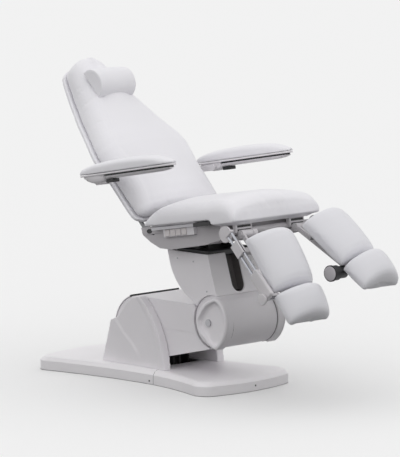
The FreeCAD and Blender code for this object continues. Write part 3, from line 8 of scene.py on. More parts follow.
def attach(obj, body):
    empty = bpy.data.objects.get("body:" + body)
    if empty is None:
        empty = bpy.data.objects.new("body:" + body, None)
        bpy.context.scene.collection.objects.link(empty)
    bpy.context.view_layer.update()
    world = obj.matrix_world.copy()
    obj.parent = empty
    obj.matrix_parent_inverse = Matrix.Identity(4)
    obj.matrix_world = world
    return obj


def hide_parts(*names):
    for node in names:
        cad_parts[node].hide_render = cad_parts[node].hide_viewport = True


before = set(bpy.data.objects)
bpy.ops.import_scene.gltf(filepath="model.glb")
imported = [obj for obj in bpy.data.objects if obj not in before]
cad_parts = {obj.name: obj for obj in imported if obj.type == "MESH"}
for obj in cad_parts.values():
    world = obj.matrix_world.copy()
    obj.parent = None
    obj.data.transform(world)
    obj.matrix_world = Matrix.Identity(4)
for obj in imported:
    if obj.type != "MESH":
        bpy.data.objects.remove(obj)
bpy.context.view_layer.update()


# The room: a pale seamless floor, an even sky of white cloth and two broad lamps, with the
# camera a long way back on the occupant's right, a little above the seat.
VIEWPOINT = (9.612, -9.228, 2.366)
VIEW_ALONG = (-0.7074, 0.6951, -0.1288)
LENS_MM = 246.8
SENSOR_MM = 36
FAR_LIMIT = 100
FLOOR_SPAN = 60.0
BACKDROP_SHADE = 0.864
FLOOR_SEEN = 0.905
FLOOR_BOUNCE = 0.08
SKY_STRENGTH = 0.94

bpy.context.scene.view_settings.view_transform = "Standard"
camera_data = bpy.data.cameras.new("viewpoint")
camera_data.sensor_width = SENSOR_MM
camera_data.lens = LENS_MM
camera_data.clip_end = FAR_LIMIT
camera = bpy.data.objects.new("viewpoint", camera_data)
camera.location = VIEWPOINT
camera.rotation_mode = "QUATERNION"
camera.rotation_quaternion = Vector(VIEW_ALONG).to_track_quat("-Z", "Y")
bpy.context.collection.objects.link(camera)
bpy.context.scene.camera = camera

sky = bpy.data.worlds.new("studio_cloth")
sky.use_nodes = True
bpy.context.scene.world = sky
sky_nodes, sky_links = sky.node_tree.nodes, sky.node_tree.links
sky_nodes["Background"].inputs["Color"].default_value = (1, 1, 1, 1)
sky_nodes["Background"].inputs["Strength"].default_value = SKY_STRENGTH
backdrop = sky_nodes.new("ShaderNodeBackground")
backdrop.inputs["Color"].default_value = (BACKDROP_SHADE, BACKDROP_SHADE, BACKDROP_SHADE, 1)
rays = sky_nodes.new("ShaderNodeLightPath")
seen_or_mirrored = sky_nodes.new("ShaderNodeMath")
seen_or_mirrored.operation = "MAXIMUM"
sky_mix = sky_nodes.new("ShaderNodeMixShader")
sky_links.new(rays.outputs["Is Camera Ray"], seen_or_mirrored.inputs[0])
sky_links.new(rays.outputs["Is Glossy Ray"], seen_or_mirrored.inputs[1])
sky_links.new(seen_or_mirrored.outputs[0], sky_mix.inputs[0])
sky_links.new(sky_nodes["Background"].outputs[0], sky_mix.inputs[1])
sky_links.new(backdrop.outputs[0], sky_mix.inputs[2])
sky_links.new(sky_mix.outputs[0], sky_nodes["World Output"].inputs["Surface"])

floor_mesh = bpy.data.meshes.new("studio_floor")
floor_half = FLOOR_SPAN / 2
floor_mesh.from_pydata(
    [
        (-floor_half, -floor_half, 0), (floor_half, -floor_half, 0),
        (floor_half, floor_half, 0), (-floor_half, floor_half, 0),
    ],
    [], [(0, 1, 2, 3)],
)
floor = bpy.data.objects.new("studio_floor", floor_mesh)
bpy.context.collection.objects.link(floor)
floor_paint = bpy.data.materials.new("studio_floor")
floor_paint.use_nodes = True
floor_nodes, floor_links = floor_paint.node_tree.nodes, floor_paint.node_tree.links
floor_nodes.remove(floor_nodes["Principled BSDF"])
seen_floor = floor_nodes.new("ShaderNodeBsdfDiffuse")
seen_floor.inputs["Color"].default_value = (FLOOR_SEEN, FLOOR_SEEN, FLOOR_SEEN, 1)
felt_floor = floor_nodes.new("ShaderNodeBsdfDiffuse")
felt_floor.inputs["Color"].default_value = (FLOOR_BOUNCE, FLOOR_BOUNCE, FLOOR_BOUNCE, 1)
floor_rays = floor_nodes.new("ShaderNodeLightPath")
either_ray = floor_nodes.new("ShaderNodeMath")
either_ray.operation = "MAXIMUM"
floor_mix = floor_nodes.new("ShaderNodeMixShader")
floor_links.new(floor_rays.outputs["Is Camera Ray"], either_ray.inputs[0])
floor_links.new(floor_rays.outputs["Is Glossy Ray"], either_ray.inputs[1])
floor_links.new(either_ray.outputs[0], floor_mix.inputs[0])
floor_links.new(felt_floor.outputs[0], floor_mix.inputs[1])
floor_links.new(seen_floor.outputs[0], floor_mix.inputs[2])
floor_links.new(floor_mix.outputs[0], floor_nodes["Material Output"].inputs["Surface"])
floor_mesh.materials.append(floor_paint)

LAMP_SPREAD = 70
LAMPS = [
    ("side_lamp", (0.15, -0.93, 0.35), 0.13),
    ("front_lamp", (0.88, -0.30, 0.35), 0.20),
]
for lamp_name, lamp_from, lamp_strength in LAMPS:
    lamp_data = bpy.data.lights.new(lamp_name, "SUN")
    lamp_data.energy = lamp_strength
    lamp_data.angle = math.radians(LAMP_SPREAD)
    lamp = bpy.data.objects.new(lamp_name, lamp_data)
    lamp.rotation_mode = "QUATERNION"
    lamp.rotation_quaternion = (-Vector(lamp_from)).to_track_quat("-Z", "Y")
    bpy.context.collection.objects.link(lamp)


# The base: a steel floor plate under two vacuum-formed covers that meet at a seam across the
# middle. The covers are sprayed warm white, made a little lighter than the covers above them as
# painted light for the light that falls on the base's top.
COVER_WHITE = (0.790, 0.768, 0.795)
LIT_BASE_WHITE = (0.860, 0.840, 0.862)
PLATE_GREY = (0.30, 0.30, 0.31)


def fine_bump(material, scale, depth, rounding=0.0):
    """Raises a fine grain on a finish, and rounds the light over its sharp edges."""
    nodes, links = material.node_tree.nodes, material.node_tree.links
    shader = nodes["Principled BSDF"]
    place = nodes.new("ShaderNodeTexCoord")
    grain = nodes.new("ShaderNodeTexNoise")
    grain.inputs["Scale"].default_value = scale
    grain.inputs["Detail"].default_value = 3
    bump = nodes.new("ShaderNodeBump")
    bump.inputs["Strength"].default_value = 0.5
    bump.inputs["Distance"].default_value = depth
    links.new(place.outputs["Object"], grain.inputs["Vector"])
    links.new(grain.outputs["Fac"], bump.inputs["Height"])
    if rounding:
        soft_edge = nodes.new("ShaderNodeBevel")
        soft_edge.samples = 4
        soft_edge.inputs["Radius"].default_value = rounding
        links.new(soft_edge.outputs["Normal"], bump.inputs["Normal"])
    links.new(bump.outputs["Normal"], shader.inputs["Normal"])


def mottled(material, colour, spread, scale):
    """Lets a finish's colour drift a little over its surface."""
    nodes, links = material.node_tree.nodes, material.node_tree.links
    place = nodes.new("ShaderNodeTexCoord")
    drift = nodes.new("ShaderNodeTexNoise")
    drift.inputs["Scale"].default_value = scale
    drift.inputs["Detail"].default_value = 4
    tint = nodes.new("ShaderNodeValToRGB")
    tint.color_ramp.elements[0].position = 0.3
    tint.color_ramp.elements[1].position = 0.7
    tint.color_ramp.elements[0].color = (*[c * (1 - spread) for c in colour], 1)
    tint.color_ramp.elements[1].color = (*[min(1, c * (1 + spread)) for c in colour], 1)
    links.new(place.outputs["Object"], drift.inputs["Vector"])
    links.new(drift.outputs["Fac"], tint.inputs["Fac"])
    links.new(tint.outputs["Color"], nodes["Principled BSDF"].inputs["Base Color"])


def finish(name, colour, rough, metal=0.0, spread=0.02, scale=5.0):
    """One finish of the chair, with its colour, gloss and slight drift of colour."""
    material = bpy.data.materials.new(name)
    material.use_nodes = True
    shader = material.node_tree.nodes["Principled BSDF"]
    shader.inputs["Roughness"].default_value = rough
    shader.inputs["Metallic"].default_value = metal
    mottled(material, colour, spread, scale)
    return material


def dress(material, *names):
    """Gives CAD nodes their finish."""
    for name in names:
        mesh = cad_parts[name].data
        mesh.materials.clear()
        mesh.materials.append(material)


PAINT_GRAIN = 700
PAINT_PEEL = 0.00012
cover_paint = finish("cover_paint", COVER_WHITE, 0.38)
fine_bump(cover_paint, PAINT_GRAIN, PAINT_PEEL, 0.003)
plate_paint = finish("plate_paint", PLATE_GREY, 0.5)
fine_bump(plate_paint, 900, 0.0002)
lit_base_paint = finish("lit_base_paint", LIT_BASE_WHITE, 0.38)
fine_bump(lit_base_paint, PAINT_GRAIN, PAINT_PEEL, 0.003)
dress(lit_base_paint, "rear_base_cover", "front_base_cover")
dress(plate_paint, "base_plate")


# The mains inlet: a moulded black socket set low in the rear edge of the base, where the lead
# plugs in.
SOCKET_BLACK = (0.018, 0.018, 0.020)

black_moulding = finish("black_moulding", SOCKET_BLACK, 0.45, spread=0.1, scale=30)
fine_bump(black_moulding, 1200, 0.0002, 0.001)
dress(black_moulding, "mains_inlet")


# The pedestal: two cheeks and a rear cover on the base, and a rubber wiper strip where the
# lift arm's top cover slides under the rear cover's edge.
dress(cover_paint, "rear_upright_cover")
dress(black_moulding, "wiper_seal")


# The lift: welded brackets, shafts, tie rods and the electric drive. Nearly all of it is hidden
# by the covers. It and the column and seat frames are dull black, which is also painted shade for
# the dark inside the covers' gaps.
STEEL = (0.42, 0.42, 0.44)
BRASS = (0.60, 0.44, 0.18)
DULL_SHADE_BLACK = (0.030, 0.029, 0.031)

plain_steel = finish("plain_steel", STEEL, 0.32, metal=1.0, spread=0.08, scale=40)
fine_bump(plain_steel, 500, 0.0001)
brass = finish("brass", BRASS, 0.35, metal=1.0, spread=0.08, scale=40)
fine_bump(brass, 500, 0.0001)
dress(plate_paint, "lift_arm_frame", "back_frame")
dull_shade_black = finish("dull_shade_black", DULL_SHADE_BLACK, 0.9, spread=0.1, scale=30)
fine_bump(dull_shade_black, 1200, 0.0002)
dress(dull_shade_black, "pivot_brackets", "tie_rods", "drive_bracket", "base_shaft", "lift_drive")
dress(dull_shade_black, "column_frame", "seat_frame")
dress(plain_steel, "lift_rod", "elbow_shaft", "tilt_pin", "column_screws")
dress(brass, "arm_bushes")


# The covers of the lift arm and of the column: painted shells over the frames, with the dark
# plastic channel that stands behind the slot in the column's front.
LINER_BLACK = (0.13, 0.12, 0.118)

dress(cover_paint, "upper_arm_cover", "lower_arm_cover", "column_cover")
# The column's front cover takes the base's lighter paint too: painted light for the light on its front.
dress(lit_base_paint, "column_front_cover")
liner_black = finish("liner_black", LINER_BLACK, 0.5, spread=0.1, scale=20)
fine_bump(liner_black, 1200, 0.0002)
dress(liner_black, "slot_liner")


# The drum at the elbow: a curved cover between two deep end caps. Each cap is drop-shaped with a
# rolled rim and a sunk face, meets the drum at a grey seam strip, and is held by small screws.
DRUM_RADIUS = 0.112
DRUM_INSIDE = 0.107
DRUM_HALF = 0.1302
ELBOW = (0.440, 0.295)
DROP_OUTLINE = [
    (0.047, 0.109), (0.022, 0.101), (0.000, 0.090), (-0.015, 0.080), (-0.034, 0.059), (-0.052, 0.033),
    (-0.062, 0.009), (-0.061, -0.012), (-0.056, -0.031), (-0.042, -0.050), (-0.023, -0.066),
    (0.001, -0.085), (0.026, -0.0995), (0.051, -0.107), (0.072, -0.094), (0.092, -0.071),
    (0.107, -0.042), (0.115, -0.010), (0.115, 0.022), (0.106, 0.055), (0.090, 0.083), (0.070, 0.102),
]
DROP_MIDDLE = (0.030, 0.005)
CAP_STEPS = [
    (0.1335, 0.002), (0.1345, -0.0015), (0.1655, -0.0015), (0.1665, 0.0005), (0.1680, 0.0005),
    (0.1690, -0.0015), (0.173, -0.0015), (0.1775, 0.0005), (0.180, 0.005), (0.180, 0.013),
    (0.178, 0.0155), (0.170, 0.0175), (0.165, 0.022), (0.165, 0.040),
]
WALL_SECTION = [(0.1000, 0.1260), (0.1112, 0.1262), (0.1112, 0.1312), (0.1000, 0.1314)]
SEAM_SECTION = [(0.1105, 0.1290), (0.1129, 0.1290), (0.1129, 0.1336), (0.1105, 0.1336)]
SEAM_GREY = (0.20, 0.19, 0.20)
SCREW_ANGLES = (-42, 12, 62)
SCREW_REACH = 0.1146
SCREW_OUT = 0.155
SCREW_TURNING = [(0.0042, -0.002), (0.0042, 0.0006), (0.0034, 0.0016), (0.0016, 0.0018), (0.0014, 0.0008)]
SCREW_DARK = (0.10, 0.10, 0.105)
GROOVES = (65, -76)
GROOVE_DEPTH = 0.0016
SIDES = [("right", -1), ("left", 1)]
AS_IT_STANDS = Matrix.Identity(4)


def ring_skin(name, rings, place):
    """A closed skin drawn through rings of points and moved to its place."""
    count = len(rings[0])
    points = [tuple(place @ Vector(spot)) for ring in rings for spot in ring]
    faces = []
    for row in range(len(rings) - 1):
        low, high = row * count, (row + 1) * count
        for spot in range(count):
            beside = (spot + 1) % count
            faces.append((low + spot, low + beside, high + beside, high + spot))
    last = (len(rings) - 1) * count
    faces.append(tuple(reversed(range(count))))
    faces.append(tuple(range(last, last + count)))
    mesh = bpy.data.meshes.new(name)
    mesh.from_pydata(points, [], faces)
    skin = bmesh.new()
    skin.from_mesh(mesh)
    bmesh.ops.recalc_face_normals(skin, faces=skin.faces)
    skin.to_mesh(mesh)
    skin.free()
    piece = bpy.data.objects.new(name, mesh)
    bpy.context.collection.objects.link(piece)
    return piece


def smoothed(piece, angle=35):
    """Lets the light run smoothly over a hard piece, but breaks it at real edges."""
    for face in piece.data.polygons:
        face.use_smooth = True
    piece.data.set_sharp_from_angle(angle=math.radians(angle))


def hard_piece(name, rings, place, material, body, nodes=(), angle=35):
    """A moulded or metal piece drawn through rings, riding on its body."""
    piece = ring_skin(name, rings, place)
    smoothed(piece, angle)
    piece.data.materials.append(material)
    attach(piece, body)
    if nodes:
        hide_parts(*nodes)


def closed_curve(points, steps):
    """A smooth closed line through points, as more points."""
    known = np.array(points)
    count = len(known)
    line = []
    for index in range(count):
        a, b, c, d = (known[(index + shift) % count] for shift in (-1, 0, 1, 2))
        for step in range(steps):
            t = step / steps
            bend = (2 * a - 5 * b + 4 * c - d) * t * t
            line.append(0.5 * (2 * b + (c - a) * t + bend + (3 * b - a - 3 * c + d) * t**3))
    return np.array(line)


def shrunk(line, middle, depth):
    """A closed line drawn toward its middle by one depth everywhere."""
    arms = line - np.array(middle)
    reach = np.linalg.norm(arms, axis=1, keepdims=True)
    return np.array(middle) + arms * (1 - depth / reach)


def about_elbow(radius, turn, y):
    """A point on a circle about the elbow's shaft."""
    return (ELBOW[0] + radius * math.cos(turn), y, ELBOW[1] + radius * math.sin(turn))


def button_screw(name, place, body):
    """A small round-headed steel screw with a sunk drive."""
    turns = [2 * math.pi * step / 12 for step in range(12)]
    rings = []
    for radius, height in SCREW_TURNING:
        rings.append([(radius * math.cos(turn), radius * math.sin(turn), height) for turn in turns])
    hard_piece(name, rings, place, screw_steel, body)


screw_steel = finish("screw_steel", SCREW_DARK, 0.4, metal=1.0, spread=0.08, scale=40)
fine_bump(screw_steel, 500, 0.0001)
drop_line = closed_curve(DROP_OUTLINE, 4)
for side_name, side in SIDES:
    rings = []
    for out, depth in CAP_STEPS:
        spots = shrunk(drop_line, DROP_MIDDLE, depth)
        rings.append([(ELBOW[0] + x, side * out, ELBOW[1] + z) for x, z in spots])
    names = ("drum_end_caps",) if side_name == "right" else ()
    hard_piece(f"{side_name}_drum_cap", rings, AS_IT_STANDS, cover_paint, "column", nodes=names, angle=50)
    for number, angle in enumerate(SCREW_ANGLES, start=1):
        turn = math.radians(angle)
        place = Matrix.Translation(about_elbow(SCREW_REACH, turn, side * SCREW_OUT))
        place = place @ Matrix.Rotation(math.pi / 2 - turn, 4, "Y")
        button_screw(f"{side_name}_cap_screw_{number}", place, "column")

seam_grey = finish("seam_grey", SEAM_GREY, 0.6, spread=0.1, scale=30)
fine_bump(seam_grey, 1200, 0.0002)
drum_rings = []
for y in (-DRUM_HALF, -DRUM_HALF + 0.001, 0, DRUM_HALF - 0.001, DRUM_HALF):
    outer, inner = [], []
    for step in range(88):
        angle = -103 + 3.0 * step
        in_groove = min(abs(angle - groove) for groove in GROOVES) < 1
        radius = DRUM_RADIUS - (GROOVE_DEPTH if in_groove else 0)
        turn = math.radians(angle)
        outer.append(about_elbow(radius, turn, y))
        inner.append(about_elbow(DRUM_INSIDE, turn, y))
    drum_rings.append(outer + inner[::-1])
for side_name, side in SIDES:
    turns = [2 * math.pi * step / 72 for step in range(72)]
    rings = [[about_elbow(radius, turn, side * y) for turn in turns] for radius, y in WALL_SECTION]
    hard_piece(f"{side_name}_drum_wall", rings, AS_IT_STANDS, cover_paint, "column")
    turns = [math.radians(-78 + 3.0 * step) for step in range(49)]
    rings = [[about_elbow(radius, turn, side * y) for radius, y in SEAM_SECTION] for turn in turns]
    hard_piece(f"{side_name}_cap_seam", rings, AS_IT_STANDS, seam_grey, "column")
hard_piece("drum_shell", drum_rings, AS_IT_STANDS, cover_paint, "column", nodes=("drum_cover",), angle=60)


# The seam where the two base covers meet, filled with a thin grey strip down each side, and the
# screws that hold the covers' skirts to the plate.
SEAM_X = 0.150
SEAM_HALF = 0.0009
SEAM_DEPTH = 0.003
SKIRT_SCREW = (0.126, 0.2080, 0.015)
FRONT_SCREW = (0.5526, 0, 0.024)
SEAM_PATH = [
    (0.2084, 0.003), (0.2084, 0.020), (0.2084, 0.040), (0.2079, 0.0428), (0.2062, 0.0450), (0.2032, 0.0490),
    (0.1992, 0.0543), (0.1942, 0.0589), (0.1888, 0.0604), (0.1820, 0.0622), (0.1760, 0.0622),
]
for side_name, side in SIDES:
    rings = []
    for y, z in SEAM_PATH:
        inner_y, inner_z = y - SEAM_DEPTH, z - SEAM_DEPTH * (z > 0.041)
        rings.append([
            (SEAM_X - SEAM_HALF, side * y, z), (SEAM_X + SEAM_HALF, side * y, z),
            (SEAM_X + SEAM_HALF, side * inner_y, inner_z), (SEAM_X - SEAM_HALF, side * inner_y, inner_z),
        ])
    hard_piece(f"{side_name}_base_seam", rings, AS_IT_STANDS, seam_grey, "base")
    spot = (SKIRT_SCREW[0], side * SKIRT_SCREW[1], SKIRT_SCREW[2])
    place = Matrix.Translation(spot) @ Matrix.Rotation(-side * math.pi / 2, 4, "X")
    button_screw(f"{side_name}_skirt_screw", place, "base")
place = Matrix.Translation(FRONT_SCREW) @ Matrix.Rotation(math.pi / 2, 4, "Y")
button_screw("front_skirt_screw", place, "base")


# The seat's moulded hull, painted greyer than the covers below it as painted shade for the shade
# under the seat, the keypad's box and its four rocking keys on the right side, and the white steel
# tube across the front for the legs.
SHADED_HULL_GREY = (0.50, 0.48, 0.50)
KEY_WHITE = (0.74, 0.70, 0.70)
FRAME_GREY = (0.62, 0.60, 0.62)

key_plastic = finish("key_plastic", KEY_WHITE, 0.35)
fine_bump(key_plastic, 900, 0.0001, 0.0015)
shaded_hull_paint = finish("shaded_hull_paint", SHADED_HULL_GREY, 0.42)
fine_bump(shaded_hull_paint, PAINT_GRAIN, PAINT_PEEL, 0.002)
dress(shaded_hull_paint, "seat_hull")
dress(cover_paint, "control_box")
dress(key_plastic, "control_key_1", "control_key_2", "control_key_3", "control_key_4")
frame_paint = finish("frame_paint", FRAME_GREY, 0.4)
fine_bump(frame_paint, PAINT_GRAIN, PAINT_PEEL, 0.002)
dress(frame_paint, "front_cross_tube")


# The seat cushion: foam on a wrapped board under stretched white leatherette. Its rear runs out
# to a low edge behind, its front turns down over the board as an apron.
LEATHERETTE = (0.835, 0.825, 0.858)
PEBBLE_SIZE = 700
PEBBLE_DEPTH = 0.00015
FOAM_PRESSURE = 4.0
LAST_FRAME = 20
SEAT_PLACE = Matrix.Translation((0.155, 0, 0.673)) @ Matrix.Rotation(math.radians(-9.5), 4, "Y")
SEAT_STATIONS = [
    (-0.014, 0.004, 0.011, 0.250), (-0.011, 0.003, 0.018, 0.258), (0.000, 0.003, 0.030, 0.262),
    (0.014, 0.003, 0.044, 0.264), (0.030, 0.003, 0.057, 0.265), (0.052, 0.003, 0.070, 0.266),
    (0.080, 0.003, 0.080, 0.266), (0.120, 0.003, 0.085, 0.266), (0.200, 0.003, 0.085, 0.266),
    (0.290, 0.003, 0.084, 0.266), (0.386, 0.003, 0.084, 0.266), (0.396, -0.019, 0.084, 0.266),
    (0.430, -0.021, 0.083, 0.266), (0.460, -0.022, 0.080, 0.266), (0.485, -0.022, 0.074, 0.265),
    (0.506, -0.022, 0.064, 0.264), (0.521, -0.021, 0.051, 0.262), (0.531, -0.018, 0.036, 0.258),
    (0.535, -0.012, 0.018, 0.252),
]


def leatherette(name, colour):
    """Coated upholstery cloth: pebble grain, satin gloss, hardly any drift of colour."""
    material = finish(name, colour, 0.42, spread=0.012, scale=3)
    nodes, links = material.node_tree.nodes, material.node_tree.links
    shader = nodes["Principled BSDF"]
    shader.inputs["Sheen Weight"].default_value = 0.08
    shader.inputs["Sheen Roughness"].default_value = 0.4
    place = nodes.new("ShaderNodeTexCoord")
    pebble = nodes.new("ShaderNodeTexVoronoi")
    pebble.feature = "SMOOTH_F1"
    pebble.inputs["Scale"].default_value = PEBBLE_SIZE
    bump = nodes.new("ShaderNodeBump")
    bump.inputs["Strength"].default_value = 0.35
    bump.inputs["Distance"].default_value = PEBBLE_DEPTH
    links.new(place.outputs["Object"], pebble.inputs["Vector"])
    links.new(pebble.outputs["Distance"], bump.inputs["Height"])
    links.new(bump.outputs["Normal"], shader.inputs["Normal"])
    return material


def quarter_turn(steps):
    """Angles of a quarter turn in even steps, without its start."""
    return [math.pi / 2 * step / steps for step in range(1, steps + 1)]


def both_sides(half_ring):
    """Closes half a section with its mirror image."""
    return half_ring + [(depth, -across) for depth, across in reversed(half_ring[1:-1])]


def pad_ring(half, rear, front, rear_round, front_round, dome):
    """Section of a pad as depth and width: flat behind, rounded corners, a domed face."""
    rear_round = min(rear_round, (front - rear) * 0.4, half * 0.4)
    front_round = min(front_round, (front - rear - rear_round) * 0.95, half * 0.9)
    ring = [(rear, (half - rear_round) * step / 5) for step in range(6)]
    for turn in quarter_turn(4):
        ring.append((rear + rear_round * (1 - math.cos(turn)), half - rear_round * (1 - math.sin(turn))))
    low, high = rear + rear_round, front - front_round
    ring += [(low + (high - low) * step / 3, half) for step in (1, 2, 3)]
    for turn in quarter_turn(7):
        ring.append((high + front_round * math.sin(turn), half - front_round * (1 - math.cos(turn))))
    flat = half - front_round
    for step in range(7, -1, -1):
        across = flat * step / 8
        ring.append((front + dome * (1 - (step / 8) ** 2), across))
    return both_sides(ring)


def evened(known, count):
    """More stations on straight lines between the known ones, closest where those are close."""
    table = np.array(known)
    places = table[:, 0]
    spots = np.interp(np.linspace(0, len(places) - 1, count), np.arange(len(places)), places)
    stations = [spots] + [np.interp(spots, places, table[:, column]) for column in range(1, table.shape[1])]
    return list(zip(*stations))


def relaxed(points, edges, rounds):
    """Evens out a closed skin: each point is drawn toward its neighbours, then let back."""
    first, second = edges[:, 0], edges[:, 1]
    number = np.bincount(first, minlength=len(points)) + np.bincount(second, minlength=len(points))
    for count in range(rounds):
        for pull in (0.5, -0.52):
            total = np.zeros_like(points)
            np.add.at(total, first, points[second])
            np.add.at(total, second, points[first])
            points = points + pull * (total / number[:, None] - points)
    return points


def mesh_points(mesh):
    """All the points of a mesh as rows."""
    flat = np.zeros(len(mesh.vertices) * 3)
    mesh.vertices.foreach_get("co", flat)
    return flat.reshape(-1, 3)


def mesh_edges(mesh):
    """All the edges of a mesh as pairs of point numbers."""
    flat = np.zeros(len(mesh.edges) * 2, dtype=np.int64)
    mesh.edges.foreach_get("vertices", flat)
    return flat.reshape(-1, 2)


def put_points(mesh, points):
    """Moves a mesh's points to new places."""
    mesh.vertices.foreach_set("co", points.reshape(-1))
    mesh.update()


def even_skin(form, voxel, rounds, draw_in):
    """Gives a form an even skin of small faces, drawn in by a little where it will swell."""
    remesh = form.modifiers.new("skin", "REMESH")
    remesh.mode = "VOXEL"
    remesh.voxel_size = voxel
    graph = bpy.context.evaluated_depsgraph_get()
    skin = bpy.data.meshes.new_from_object(form.evaluated_get(graph))
    form.modifiers.clear()
    form.data = skin
    skin.name = form.name
    put_points(skin, relaxed(mesh_points(skin), mesh_edges(skin), rounds))
    normals = np.zeros(len(skin.vertices) * 3)
    skin.vertices.foreach_get("normal", normals)
    put_points(skin, mesh_points(skin) - normals.reshape(-1, 3) * draw_in)


def pull_cover_on(piece, most):
    """Swells the form under its cover like real foam, and stops each point at its limit."""
    rest = mesh_points(piece.data)
    cover = piece.modifiers.new("cover", "CLOTH")
    cover.settings.use_pressure = True
    cover.settings.uniform_pressure_force = FOAM_PRESSURE
    cover.settings.effector_weights.gravity = 0
    cover.settings.quality = 4
    scene = bpy.context.scene
    cover.point_cache.frame_start = 1
    cover.point_cache.frame_end = LAST_FRAME
    for step in range(1, LAST_FRAME + 1):
        scene.frame_set(step)
    graph = bpy.context.evaluated_depsgraph_get()
    swollen = mesh_points(piece.evaluated_get(graph).data)
    moved = swollen - rest
    far = np.linalg.norm(moved, axis=1)
    share = np.minimum(1, most / np.maximum(far, 1e-9))
    piece.modifiers.clear()
    scene.frame_set(1)
    put_points(piece.data, rest + moved * share[:, None])


def made_finer(piece):
    """Rounds a remeshed piece's small faces once more."""
    finer = piece.modifiers.new("finer", "SUBSURF")
    finer.levels = 1
    finer.render_levels = 1


def upholster(name, rings, place, body, node, material, voxel, rounds, draw_in=0.0, most=0.0):
    """A pad of foam drawn through its sections. Where it is soft, its cover is pulled on."""
    piece = ring_skin(name, rings, place)
    even_skin(piece, voxel, rounds, draw_in)
    if most:
        pull_cover_on(piece, most)
    piece.data.materials.clear()
    piece.data.materials.append(material)
    for face in piece.data.polygons:
        face.use_smooth = True
    made_finer(piece)
    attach(piece, body)
    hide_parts(node)


white_leatherette = leatherette("white_leatherette", LEATHERETTE)
dress(white_leatherette, "seat_board")
seat_rings = []
for along, low, top, half in evened(SEAT_STATIONS, 60):
    dome = 0.022 if top > 0.03 else 0.004
    section = pad_ring(half, low, top, 0.008, 0.058, dome)
    seat_rings.append([(along, across, height) for height, across in section])
upholster(
    "seat_upholstery", seat_rings, SEAT_PLACE, "seat", "seat_cushion", white_leatherette,
    voxel=0.006, rounds=3, draw_in=0.002, most=0.005,
)


# The cheeks of the pedestal: vacuum-formed covers with a raised rim along the front edge, a sunk
# face behind it, and a swelled foot at the rear that a soft crease parts from the face.
CHEEK_SINK = 0.0045
CHEEK_VOXEL = 0.005
RIM_WIDTH = 0.030
FOOT_LEVEL = 0.070
FOOT_DROP = 0.002
CREASE_X = [-0.150, -0.116, -0.066, -0.017, 0.021, 0.060]
CREASE_Z = [0.275, 0.258, 0.203, 0.166, 0.127, 0.070]


def soft_step(value, start, end):
    """Rises smoothly from 0 to 1 between two values."""
    share = np.clip((value - start) / (end - start), 0, 1)
    return share * share * (3 - 2 * share)


def swell_cheek(name, node, side):
    """A vacuum-formed cheek: raised rim along its front edge, sunk face, swelled rear foot."""
    piece = bpy.data.objects.new(name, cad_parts[node].data.copy())
    piece.data.name = name
    bpy.context.collection.objects.link(piece)
    even_skin(piece, CHEEK_VOXEL, 2, 0.0)
    points = mesh_points(piece.data)
    x, z = points[:, 0], points[:, 2]
    levels = np.linspace(z.min() + 0.004, z.max() - 0.004, 30)
    front_edge = [x[np.abs(z - level) < 0.006].max() for level in levels]
    inside = np.interp(z, levels, front_edge) - x
    crease = np.interp(x, CREASE_X, CREASE_Z) - z
    sunk = soft_step(inside, RIM_WIDTH, RIM_WIDTH + 0.012) * CHEEK_SINK
    sunk += np.exp(-((inside - RIM_WIDTH - 0.004) / 0.004) ** 2) * 0.0012
    lobe = soft_step(crease, -0.004, 0.016) * (1 - soft_step(x, 0.0, 0.06)) * CHEEK_SINK * 0.9
    outer = soft_step(side * points[:, 1], 0.150, 0.172)
    points[:, 1] -= side * outer * np.maximum(sunk - lobe, 0)
    points[:, 2] -= FOOT_DROP * (points[:, 2] < FOOT_LEVEL)
    put_points(piece.data, points)
    piece.data.materials.clear()
    piece.data.materials.append(cover_paint)
    smoothed(piece, 50)
    made_finer(piece)
    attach(piece, "base")
    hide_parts(node)


for side_name, side in SIDES:
    swell_cheek(f"{side_name}_cheek_cover", f"{side_name}_cheek", side)


# Under the seat: a black block in the side between the keys and the apron, painted shadow for the
# shade under the cushion, a plugged oval hole in the hull, rims along the hull's top edge and the
# front panel in the hull's painted-shade grey, and a rubber boot on the column, whose black also
# stands in for the shade under the hull.
HULL_PLUG = [(0.0165, -0.2000), (0.0165, -0.2034), (0.0150, -0.2040), (0.0120, -0.2032)]
PLUG_PLACE = SEAT_PLACE @ Matrix.Translation((-0.034, 0, -0.014))
RIM_OUTLINE = [
    (-0.084, 0.004), (0.405, 0.004), (0.405, -0.020), (0.020, -0.026), (-0.056, -0.028), (-0.076, -0.018),
]


def box_rings(low, high, round_by=0.002):
    """Rings of a small moulded block with broken edges, drawn along x."""
    middle = [(a + b) / 2 for a, b in zip(low, high)]
    reach = [(b - a) / 2 for a, b in zip(low, high)]
    rings = []
    edge = 1 - round_by / reach[0]
    for share, inset in ((-1, round_by), (-edge, 0), (edge, 0), (1, round_by)):
        half_y, half_z = reach[1] - inset, reach[2] - inset
        corner = min(round_by, half_y * 0.9, half_z * 0.9)
        ring = []
        for y_sign, z_sign, start in ((1, 1, 0), (-1, 1, 90), (-1, -1, 180), (1, -1, 270)):
            for step in range(4):
                turn = math.radians(start + 30 * step)
                y = middle[1] + y_sign * (half_y - corner) + corner * math.cos(turn)
                z = middle[2] + z_sign * (half_z - corner) + corner * math.sin(turn)
                ring.append((middle[0] + reach[0] * share, y, z))
        rings.append(ring)
    return rings


def disc_rings(profile, count=40, squash=1.0):
    """Rings of a turned piece about y: each step of the profile is a radius and a place along y."""
    turns = [2 * math.pi * step / count for step in range(count)]
    return [[(radius * math.cos(t), y, radius * squash * math.sin(t)) for t in turns] for radius, y in profile]


